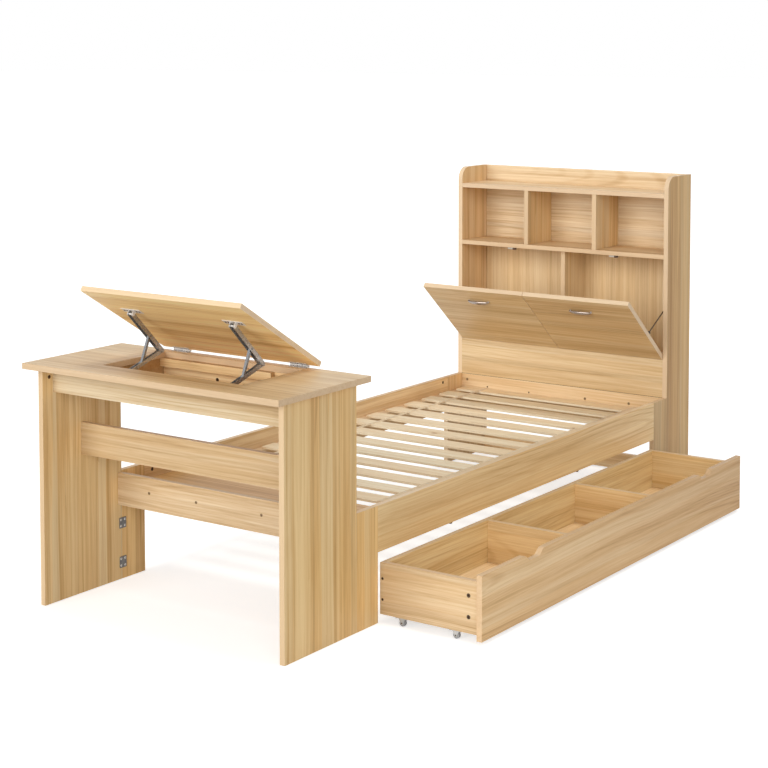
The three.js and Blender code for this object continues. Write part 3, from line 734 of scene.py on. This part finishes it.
def make_lid_hinges():
    on_desk = turned(LID_PIN, 0)
    finishes = (HINGE_STEEL, DARK_STEEL)
    pin_end = ((0, 0), (2.4, 0), (2.4, 0.6), (1.4, 1.2), (0, 1.4))
    for side, sign in SIDES:
        middle = sign * HINGE_PLACE
        low, high = middle - HINGE_HALF, middle + HINGE_HALF
        fixed = Piece(f"hinge_desk_leaf_{side}", "bed", "bright_metal", *finishes, on=on_desk)
        corners = (low, -LEAF_DEPTH, DESK_LEAF[0]), (high, DESK_LEAF_END, DESK_LEAF[1])
        fixed.take(sheet(*corners, "Z", LEAF_CORNER))
        loose = Piece(f"hinge_lid_leaf_{side}", "lid", "bright_metal", *finishes, on=ON_LID)
        corners = (low, -LEAF_DEPTH, LID_LEAF[0]), (high, LID_LEAF_END, LID_LEAF[1])
        loose.take(sheet(*corners, "Z", LEAF_CORNER))
        for x in HINGE_SCREWS:
            fixed.screw((middle + x, HINGE_SCREW_ROW, DESK_LEAF[1]), (0, 0, 1), **HINGE_SCREW)
            loose.screw((middle + x, HINGE_SCREW_ROW, LID_LEAF[0]), (0, 0, -1), **HINGE_SCREW)
        for leaf, owner in ((fixed, "desk"), (loose, "lid")):
            for start, end in knuckle_segments(owner):
                ends = (middle + start, 0, 0), (middle + end, 0, 0)
                leaf.take(rod(*ends, KNUCKLE_RADIUS, segments=20))
        for end in (-1, 1):
            tip = middle + end * (HINGE_HALF + 0.2)
            fixed.take(lathe(pin_end, (tip, 0, 0), (end, 0, 0), segments=16))
        fixed.finished(f"lid_hinge_{side}")
        loose.finished()


# Screws, bolts and cam locks


STAY_PLACE = 197  # from the centre line to a lid stay's bracket
STAY_SCREWS = (-30, -19, 19, 30)  # from the bracket's middle
STAY_SCREW_ROW = -307  # along the bed from the lid's pin
BRACKET_FACE = 0.4  # over the pin, with the lid closed

# Places on a board: along the bed and up on the sides, or across and up on the rails
DESK_SIDE_BOLT = (28, 700)
SIDE_RAIL_BOLTS = ((481, 326), (2204, 334))
HEAD_RAIL_BOLTS = ((-428, 328), (119, 310), (311, 313))
HEAD_RAIL_HOLES = ((-331, 307), (-136, 306))
FOOT_RAIL_BOLTS = ((-320, 299), (-126, 299), (132, 299))
COMPARTMENT_LOCK = (-58, 345, 684)  # across, along and up
TO_FOOT = (0, -1, 0)  # the way that their heads look

# The joint's dark strip is painted shade in the gap between the boards
PANEL_JOINT = (351.3, 352.5)  # the dark joint's lower and upper edge, under the lower panel
JOINT_SHORT = 1  # short of the bookcase's sides
JOINT_PROUD = 0.2
JOINT_DEPTH = 3


def make_stay_screws():
    """The screws that hold the lid stays to the underside of the lid."""
    for side, sign in SIDES:
        screws = Piece(f"stay_screws_{side}", "lid", "dark_steel", DARK_STEEL, RECESS_SHADE, on=ON_LID)
        for x in STAY_SCREWS:
            place = (sign * STAY_PLACE + x, STAY_SCREW_ROW, BRACKET_FACE)
            screws.screw(place, (0, 0, -1), radius=3.6, height=1)
        screws.finished()


def connector(name, places, normal, radius, body="bed", steel=None):
    """Round bolt heads or cam locks with a socket, flush in a board, of dark steel or the one given."""
    piece = Piece(name, body, "dark_steel", steel or DARK_STEEL, DARK_STEEL if steel else RECESS_SHADE)
    dish, rim, well = radius * 0.45, radius * 0.82, radius * 0.42
    head = ((0, 0.25), (dish, 0.25), (rim, 0.5), (radius, 0.2), (radius, -1), (0, -1))
    socket = ((0, 0.31), (well, 0.31), (well, 0), (0, 0))
    for centre in places:
        piece.take(lathe(head, centre, normal, segments=24))
        # The socket is barely sunk; its dark finish is painted shade
        piece.take(lathe(socket, centre, normal, segments=6), 1)
    piece.finished()


def drilled_holes(name, places, normal, radius):
    """Drilled holes with a slightly bruised rim, their inside a shallow dish in painted shade."""
    piece = Piece(name, "bed", "oak_board", RECESS_SHADE)
    profile = ((0, 0.06), (radius * 0.7, 0.1), (radius, 0.22), (radius + 0.3, 0), (radius, -1), (0, -1))
    for centre in places:
        piece.take(lathe(profile, centre, normal, segments=20))
    piece.finished()


def on_plane(plane, places):
    """Places across and up on a board that stands square to the bed's length."""
    return [(x, plane, z) for x, z in places]


def make_side_bolts():
    for side, sign in SIDES:
        inward = (-sign, 0, 0)
        face = sign * INSIDE
        connector(f"desk_side_bolt_{side}", [(face, *DESK_SIDE_BOLT)], inward, radius=6)
        rail_places = [(face, *place) for place in SIDE_RAIL_BOLTS]
        connector(f"rail_bolts_{side}", rail_places, inward, radius=6)


def make_head_rail_fasteners():
    bolts = on_plane(HEAD_PLANE, HEAD_RAIL_BOLTS)
    connector("head_rail_bolts", bolts, TO_FOOT, radius=5.5, steel=BRONZED_STEEL)
    connector("compartment_cam_lock", [COMPARTMENT_LOCK], TO_FOOT, radius=6)
    drilled_holes("head_rail_holes", on_plane(HEAD_PLANE, HEAD_RAIL_HOLES), TO_FOOT, radius=2.8)


def make_panel_joint():
    """A dark strip of painted shade in the joint between the headboard's lower panel and the head rail."""
    bottom, top = PANEL_JOINT
    joint = Piece("head_panel_joint", "bed", "oak_board", RECESS_SHADE)
    half = INSIDE - JOINT_SHORT
    low, high = (-half, HEAD_PLANE - JOINT_PROUD, bottom), (half, HEAD_PLANE + JOINT_DEPTH, top)
    joint.take(block(low, high, ease=0))
    joint.finished()


def make_foot_rail_bolts():
    bolts = on_plane(FOOT_PLANE - BOARD, FOOT_RAIL_BOLTS)
    connector("foot_rail_bolts", bolts, TO_FOOT, radius=5, steel=BRONZED_STEEL)


# Slats


STRAP_PLACE = 333  # from the centre line to the strap's middle
STRAP_HALF = 7.8
STRAP_LEVEL = (298.8, 301)
STRAP_SPARE = 0.5  # past the first and the last slat
STAPLE_HALF = 5
STAPLE_WIRE = 0.4  # half its thickness
STAPLE_LEVEL = (300.6, 301.5)
STAPLE_SHARES = (0.25, 0.75)  # of a slat's width


def make_straps():
    """Woven straps over the slats, with two staples in each slat."""
    last = FIRST_SLAT + (SLATS - 1) * SLAT_PITCH + SLAT_WIDTH
    under, over = STRAP_LEVEL
    for side, sign in SIDES:
        middle = sign * STRAP_PLACE
        low = (middle - STRAP_HALF, FIRST_SLAT - STRAP_SPARE, under)
        high = (middle + STRAP_HALF, last + STRAP_SPARE, over)
        strap = Piece(f"slat_strap_{side}", "bed", "pine_slat", TAPE)
        strap.take(sheet(low, high, "Z", corner=1.5, ease=0.4))
        strap.finished()
        make_staples(side, middle)


def make_staples(side, middle):
    bottom, top = STAPLE_LEVEL
    staples = Piece(f"strap_staples_{side}", "bed", "stay_steel", PALE_ZINC)
    for slat in range(SLATS):
        for share in STAPLE_SHARES:
            y = FIRST_SLAT + slat * SLAT_PITCH + share * SLAT_WIDTH
            low = (middle - STAPLE_HALF, y - STAPLE_WIRE, bottom)
            high = (middle + STAPLE_HALF, y + STAPLE_WIRE, top)
            staples.take(block(low, high))
    staples.finished()


# Door handles


HANDLE_PLACE = 226.5  # from the centre line to a handle's middle
HANDLE_UP = 306  # over the door's pin
HANDLE_HALF = 47.5
HANDLE_RISE = 10
HANDLE_TIP_RISE = 1.6
HANDLE_TIP = (1.3, 2.2)  # half the bar's depth and half its width at a tip
HANDLE_SWELL = (3.4, 6.3)  # how much both grow to the middle
HANDLE_LEAF = 1.3  # over 1, the tips run out more slowly
HANDLE_BOW = 0.9  # under 1, the bow is flatter in its middle
HANDLE_RUN = 2  # how far the tips lean along the door as they rise
HANDLE_FOOT = 44  # from the handle's middle
HANDLE_STEPS = 32
HANDLE_RING = 16


def bow_handle(x):
    """A leaf-shaped bow: a bar, stout in the middle, that leaves the door at one tip and comes back."""
    shape = bmesh.new()
    rings = []
    for step in range(HANDLE_STEPS + 1):
        angle = math.pi * step / HANDLE_STEPS
        out = math.sin(angle)
        half_depth = HANDLE_TIP[0] + HANDLE_SWELL[0] * out
        half_width = HANDLE_TIP[1] + HANDLE_SWELL[1] * out**HANDLE_LEAF
        rise = HANDLE_TIP_RISE + (HANDLE_RISE - HANDLE_TIP_RISE) * out**HANDLE_BOW
        place = Vector((x - HANDLE_HALF * math.cos(angle), -rise, HANDLE_UP))
        run = HANDLE_HALF * math.sin(angle) + HANDLE_RUN
        slope = Vector((run, -HANDLE_RISE * math.cos(angle), 0)).normalized()
        across = slope.cross(UP)
        turn = Matrix((across * half_depth, UP * half_width, slope)).transposed().to_4x4()
        matrix = Matrix.Translation(place) @ turn
        ring = bmesh.ops.create_circle(shape, segments=HANDLE_RING, radius=1, matrix=matrix)
        rings.append(ring["verts"])
    for pair in zip(rings, rings[1:]):
        edges = [e for ring in pair for e in shape.edges if e.verts[0] in ring and e.verts[1] in ring]
        bmesh.ops.bridge_loops(shape, edges=edges)
    open_ends = [e for e in shape.edges if e.is_boundary]
    bmesh.ops.holes_fill(shape, edges=open_ends, sides=HANDLE_RING)
    return shape


def make_door_handles():
    foot = ((0, 0), (4.2, 0), (4.2, 1), (3.4, 2.2), (2, 2.6), (0, 2.6))
    for side, sign in SIDES:
        middle = sign * HANDLE_PLACE
        handle = Piece(f"bow_handle_{side}", f"door_{side}", "bright_metal", SATIN_NICKEL, on=ON_DOOR)
        handle.take(bow_handle(middle))
        for end in (-1, 1):
            place = (middle + end * HANDLE_FOOT, 0, HANDLE_UP)
            handle.take(lathe(foot, place, (0, -1, 0), segments=24))
        handle.finished(f"door_handle_{side}")


# Door stays


ROD_PIVOT = (24, 156)  # off the door's outer face, and up from its pin
ROD_LENGTH = 165
ROD_RADIUS = 2.25
ROD_EYE = (2.5, 5.6)  # half its length, and its radius
ROD_FAR = 447  # from the centre line to the outer rod
ROD_NEAR = 14
EAR_REACH = (2.8, 3.8)  # from the rod to the inner and outer side of a bracket's ear
EAR_HALF = 6
EAR_PAST = 4  # past the rod's pivot
EAR_FOOT = 11  # from the pivot to the middle of an ear's foot
FOOT_HALF = 5
FOOT_THICK = 1.2
BRACKET_PIN = (4.4, 1.8)  # half its length, and its radius
GUIDE_PLACE = (2384, 692)  # along the bed, and up
GUIDE_NEAR = 9  # from the centre line to the face of the bay divider


def rod_place(x):
    """A stay rod's own frame: Y along the rod from its pivot on the door."""
    pivot = ON_DOOR @ Vector((x, *ROD_PIVOT))
    return Matrix.Translation(pivot) @ Matrix.Rotation(ROD_ANGLE, 4, "X") @ Matrix.Scale(0.001, 4)


def make_inner_rod(side, sign):
    """The rod at a door's inner end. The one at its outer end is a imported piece."""
    ball = ((0, -4), (2, -3.5), (3.5, -2), (4, 0), (3.5, 2), (2, 3.5), (0, 4))
    name, body = f"door_stay_inner_{side}", f"door_rod_{side}"
    inner_rod = Piece(name, body, "dark_steel", DARK_STEEL, on=rod_place(sign * ROD_NEAR))
    half, radius = ROD_EYE
    inner_rod.take(rod((-half, 0, 0), (half, 0, 0), radius, segments=20))
    inner_rod.take(rod((0, 0, 0), (0, ROD_LENGTH, 0), ROD_RADIUS))
    inner_rod.take(lathe(ball, (0, ROD_LENGTH, 0), (0, 1, 0), segments=16))
    inner_rod.finished()


def take_rod_bracket(brackets, x):
    """Two ears around a rod's eye, each with a screwed foot on the door, and the pin through them."""
    out, up = ROD_PIVOT
    inner, outer = EAR_REACH
    foot_face = BOARD + FOOT_THICK
    for ear in (-1, 1):
        low = (x + ear * inner, BOARD, up - EAR_HALF)
        high = (x + ear * outer, out + EAR_PAST, up + EAR_HALF)
        brackets.take(sheet(low, high, "X", corner=2.5, ease=0.2))
        foot = up + ear * EAR_FOOT
        low, high = (x - outer, BOARD, foot - FOOT_HALF), (x + outer, foot_face, foot + FOOT_HALF)
        brackets.take(sheet(low, high, "Y", corner=2))
        brackets.screw((x, foot_face, foot), (0, 1, 0), radius=2.4, height=0.5)
    half, radius = BRACKET_PIN
    brackets.take(rod((x - half, out, up), (x + half, out, up), radius))


def make_rod_brackets(side, sign):
    name, body = f"door_stay_brackets_{side}", f"door_{side}"
    brackets = Piece(name, body, "dark_steel", DARK_STEEL, RECESS_SHADE, on=ON_DOOR)
    for place in (ROD_FAR, ROD_NEAR):
        take_rod_bracket(brackets, sign * place)
    brackets.finished()


def make_rod_guides(side, sign):
    """Discs that guide the rods, on the boards at both sides of a bay."""
    wall_disc = ((0, 3.6), (2.6, 3.6), (4.6, 3), (7.4, 2.2), (8.4, 1.2), (8.4, 0), (0, 0))
    divider_disc = wall_disc[2:]
    guides = Piece(f"door_stay_guides_{side}", "bed", "bright_metal", HINGE_STEEL)
    guides.take(lathe(wall_disc, (sign * INSIDE, *GUIDE_PLACE), (-sign, 0, 0)))
    guides.take(lathe(divider_disc, (sign * GUIDE_NEAR, *GUIDE_PLACE), (sign, 0, 0)))
    guides.finished()


def make_door_stays():
    for side, sign in SIDES:
        make_inner_rod(side, sign)
        make_rod_brackets(side, sign)
        make_rod_guides(side, sign)


# Door catches


CATCH_PLACE = 229  # from the centre line; the corners below are measured across from it
CATCH_CASE = ((-21, 2366, 874), (15, 2382, 883.9))
CATCH_MAGNET = ((3, 2364.9, 872.6), (16, 2375, 881))
CATCH_SCREWS = ((-16, 2376, 874), (10, 2376, 874))
STRIKE_FACE = BOARD + 0.6
STRIKE_PLATE = ((-14, BOARD, 364), (14, STRIKE_FACE, 375))
STRIKE_SCREW = (0, STRIKE_FACE, 367)


def beside(x, *places):
    """Places that are measured across from x."""
    return [(x + across, y, z) for across, y, z in places]


def make_catches():
    """Magnetic catches under the middle shelf, and their strike plates on the doors."""
    for side, sign in SIDES:
        x = sign * CATCH_PLACE
        catch = Piece(f"door_catch_{side}", "bed", "caster_grey", PALE_PLASTIC, BROWN_PLASTIC)
        catch.take(sheet(*beside(x, *CATCH_CASE), "Z", corner=3, ease=0.6))
        catch.take(sheet(*beside(x, *CATCH_MAGNET), "Y", corner=1.5, ease=0.4), 1)
        for place in beside(x, *CATCH_SCREWS):
            catch.screw(place, (0, 0, -1), radius=2.4, height=0.5)
        catch.finished()
        name, body = f"catch_plate_{side}", f"door_{side}"
        strike = Piece(name, body, "bright_metal", HINGE_STEEL, DARK_STEEL, on=ON_DOOR)
        strike.take(sheet(*beside(x, *STRIKE_PLATE), "Y", corner=2, ease=0.15))
        strike.screw(*beside(x, STRIKE_SCREW), (0, 1, 0), radius=2.2, height=0.2)
        strike.finished()


# Drawer


DRAWER_ENDS = (("foot", 454, -1), ("head", 2212, 1))  # each end's outer face, and the way it looks
DRAWER_SCREWS = ((481, 133), (481, 70))  # across, and up
DRAWER_CAM_LOCKS = ((782, 136), (782, 73))
STOPS = ((463, 849, 212), (463, 1662, 212))


def make_drawer_fasteners():
    for end, face, way in DRAWER_ENDS:
        outward = (0, way, 0)
        screws = Piece(f"drawer_screws_{end}", "drawer", "dark_steel", DARK_STEEL, RECESS_SHADE)
        for place in on_plane(face, DRAWER_SCREWS):
            screws.screw(place, outward, radius=4.2, height=0.6)
        screws.finished()
        cam_locks = on_plane(face, DRAWER_CAM_LOCKS)
        connector(f"drawer_cam_locks_{end}", cam_locks, outward, radius=6.4, body="drawer")


def make_drawer_stops():
    """Two buffers under the side rail."""
    buffer = ((0, 6), (5, 6), (6.5, 4), (6.5, 0), (0, 0))
    stops = Piece("drawer_stops", "bed", "dark_steel", BROWN_PLASTIC)
    for place in STOPS:
        stops.take(lathe(buffer, place, (0, 0, -1), segments=20))
    stops.finished()


# Casters


CASTER_PLACES = {
    "back_foot": (549, 463),
    "front_foot": (737, 463),
    "back_head": (549, 2203),
    "front_head": (737, 2203),
}
WHEEL_RADIUS = 10.5
CHEEK = (5.9, 7.4)  # from the wheel's middle to a cheek's inner and outer side
CHEEK_TOP = 24.5
CHEEK_HALF = 12  # at the plate
CHEEK_END = 5.2  # its radius round the axle
CASTER_PLATE = ((-24, -7.6, 22.8), (19, 7.6, 24.7))
AXLE = (7.3, 1.9)  # half its length, and its radius
CAP_OUT = 7.35  # from the wheel's middle to the cap on the axle's end
SPOKES = 6


def fork_cheek(x, y, inner, outer):
    """One side of a caster's fork: wide at the plate and round at the axle."""
    shape = bmesh.new()
    low, high = sorted((y + inner, y + outer))
    shoulder = (CHEEK_END + 0.6, WHEEL_RADIUS + 2)
    outline = [(-CHEEK_HALF, CHEEK_TOP), (CHEEK_HALF, CHEEK_TOP), shoulder]
    steps = 8
    for step in range(steps + 1):
        angle = -math.pi * step / steps
        outline.append((CHEEK_END * math.cos(angle), WHEEL_RADIUS + CHEEK_END * math.sin(angle)))
    outline.append((-shoulder[0], shoulder[1]))
    corners = [shape.verts.new((x + out, low, z)) for out, z in outline]
    face = shape.faces.new(corners)
    grown = bmesh.ops.extrude_face_region(shape, geom=[face])
    lifted = [v for v in grown["geom"] if isinstance(v, bmesh.types.BMVert)]
    bmesh.ops.translate(shape, verts=lifted, vec=(0, high - low, 0))
    soften(shape, rims(shape), width=0.25, segments=2)
    return shape


def make_fork(caster, x, y):
    plate = [(x + across, y + along, z) for across, along, z in CASTER_PLATE]
    cap = ((0, 0.7), (1.8, 0.6), (2.6, 0), (0, 0))
    fork = Piece(f"caster_housing_{caster}", "drawer", "caster_grey", GREY_PLASTIC, DARK_STEEL)
    fork.take(sheet(*plate, "Z", corner=2.5, ease=0.3))
    for side in (-1, 1):
        fork.take(fork_cheek(x, y, side * CHEEK[0], side * CHEEK[1]))
        cap_place = (x, y + side * CAP_OUT, WHEEL_RADIUS)
        fork.take(lathe(cap, cap_place, (0, side, 0), segments=18), 1)
    half, radius = AXLE
    fork.take(rod((x, y - half, WHEEL_RADIUS), (x, y + half, WHEEL_RADIUS), radius))
    fork.finished(f"caster_fork_{caster}")


def mirrored(half):
    """A closed profile from one half of it, the other half being its mirror image in height."""
    return (*half, *((radius, -height) for radius, height in reversed(half)), half[0])


def make_wheel(caster, x, y):
    """A tread, and a hub with spokes in it."""
    tread = mirrored(((7.4, -5.2), (9.6, -5.5), (10.3, -4.6), (WHEEL_RADIUS, -3)))
    hub = mirrored(((2.4, -5.4), (3.8, -5.4), (4.4, -4.2), (7.6, -3.8)))
    middle = (x, y, WHEEL_RADIUS)
    wheel = Piece(f"caster_roller_{caster}", f"wheel_{caster}", "caster_grey", TREAD, GREY_PLASTIC)
    wheel.take(lathe(tread, middle, (0, 1, 0), segments=48))
    wheel.take(lathe(hub, middle, (0, 1, 0), segments=32), 1)
    for spoke in range(SPOKES):
        turn = Matrix.Rotation(2 * math.pi * spoke / SPOKES, 4, "Y")
        rib = block((4, -4.6, -0.6), (7.5, 4.6, 0.6), ease=0.15)
        wheel.take(moved(rib, Matrix.Translation(middle) @ turn), 1)
    wheel.finished(f"caster_wheel_{caster}")


def make_casters():
    for caster, (x, y) in CASTER_PLACES.items():
        make_fork(caster, x, y)
        make_wheel(caster, x, y)


# Light, floor and camera


AMBIENT = 0.37
FLOOR_WHITE = 0.72
FLOOR_GLOW = 0.64
FLOOR_HALF = 60
FLOOR_DROP = 0.0005  # under the bed's lowest points


def seen_directly(tree):
    """1 for rays from the camera, reflections and what shows through, 0 for light that falls on things."""
    path = tree.nodes.new("ShaderNodeLightPath")
    seen = path.outputs["Is Camera Ray"]
    for ray in ("Is Glossy Ray", "Is Transmission Ray"):
        either = tree.nodes.new("ShaderNodeMath")
        either.operation = "MAXIMUM"
        tree.links.new(seen, either.inputs[0])
        tree.links.new(path.outputs[ray], either.inputs[1])
        seen = either.outputs[0]
    return seen


def make_world():
    world = bpy.data.worlds.new("studio")
    bpy.context.scene.world = world
    world.use_nodes = True
    tree = world.node_tree
    tree.nodes.clear()
    strength = tree.nodes.new("ShaderNodeMapRange")
    strength.inputs["To Min"].default_value = AMBIENT
    strength.inputs["To Max"].default_value = 1.0
    tree.links.new(seen_directly(tree), strength.inputs["Value"])
    background = tree.nodes.new("ShaderNodeBackground")
    background.inputs["Color"].default_value = (1, 1, 1, 1)
    tree.links.new(strength.outputs[0], background.inputs["Strength"])
    output = tree.nodes.new("ShaderNodeOutputWorld")
    tree.links.new(background.outputs[0], output.inputs["Surface"])


def floor_finish():
    """White floor that keeps the shadow and meets the background without an edge."""
    material = bpy.data.materials.new("studio_white")
    material.use_nodes = True
    tree = material.node_tree
    tree.nodes.clear()
    diffuse = tree.nodes.new("ShaderNodeBsdfDiffuse")
    diffuse.inputs["Color"].default_value = (FLOOR_WHITE, FLOOR_WHITE, FLOOR_WHITE, 1)
    glow_strength = tree.nodes.new("ShaderNodeMath")
    glow_strength.operation = "MULTIPLY"
    glow_strength.inputs[1].default_value = FLOOR_GLOW
    tree.links.new(seen_directly(tree), glow_strength.inputs[0])
    glow = tree.nodes.new("ShaderNodeEmission")
    tree.links.new(glow_strength.outputs[0], glow.inputs["Strength"])
    both = tree.nodes.new("ShaderNodeAddShader")
    tree.links.new(diffuse.outputs[0], both.inputs[0])
    tree.links.new(glow.outputs[0], both.inputs[1])
    output = tree.nodes.new("ShaderNodeOutputMaterial")
    tree.links.new(both.outputs[0], output.inputs["Surface"])
    return material


def make_floor():
    shape = bmesh.new()
    bmesh.ops.create_grid(shape, x_segments=1, y_segments=1, size=FLOOR_HALF)
    mesh = bpy.data.meshes.new("studio_floor")
    shape.to_mesh(mesh)
    shape.free()
    mesh.materials.append(floor_finish())
    floor = bpy.data.objects.new("studio_floor", mesh)
    floor.location.z = -FLOOR_DROP
    bpy.context.scene.collection.objects.link(floor)


def soft_lamp(name, direction, strength, spread):
    """Even light that comes from a direction, as from a wide softbox far away."""
    direction = Vector(direction)
    data = bpy.data.lights.new(name, "SUN")
    data.energy = strength
    data.angle = math.radians(spread)
    lamp = bpy.data.objects.new(name, data)
    lamp.location = direction * 5
    lamp.rotation_euler = (-direction).to_track_quat("-Z", "Y").to_euler()
    bpy.context.scene.collection.objects.link(lamp)


def make_light():
    make_world()
    make_floor()
    soft_lamp("key", (-0.25, -1.0, 0.28), strength=1.44, spread=34)
    soft_lamp("fill", (0.7, -0.74, 0.25), strength=1.06, spread=40)
    soft_lamp("top", (0.05, 0.1, 1.0), strength=0.86, spread=20)


# The photograph's viewpoint, solved from the bed's edges in its pixels
PHOTO_SIZE = 768
FOCAL_LENGTH = 1797.93
CENTRE_X, CENTRE_Y = 401.83, 153.15
CAMERA_PLACE = (3486.78, -3806.80, 1733.48)
CAMERA_DOWN, CAMERA_ASIDE = 0.0655, 0.6034  # in radians, from level and from along the bed


def make_camera():
    data = bpy.data.cameras.new("photo_view")
    data.sensor_width = 36
    data.lens = FOCAL_LENGTH * data.sensor_width / PHOTO_SIZE
    data.shift_x = 0.5 - CENTRE_X / PHOTO_SIZE
    data.shift_y = CENTRE_Y / PHOTO_SIZE - 0.5
    data.clip_end = 200
    camera = bpy.data.objects.new("photo_view", data)
    camera.location = metres(*CAMERA_PLACE)
    camera.rotation_euler = (math.pi / 2 - CAMERA_DOWN, 0, CAMERA_ASIDE)
    bpy.context.scene.collection.objects.link(camera)
    bpy.context.scene.camera = camera


make_camera()
dress_boards()
dress_slats()
dress_stays()
make_joining_plates()
make_lid_hinges()
make_stay_screws()
make_side_bolts()
make_head_rail_fasteners()
make_panel_joint()
make_foot_rail_bolts()
make_straps()
make_door_handles()
make_door_stays()
make_catches()
make_drawer_fasteners()
make_drawer_stops()
make_casters()
make_light()
bpy.context.scene.view_settings.view_transform = "Standard"
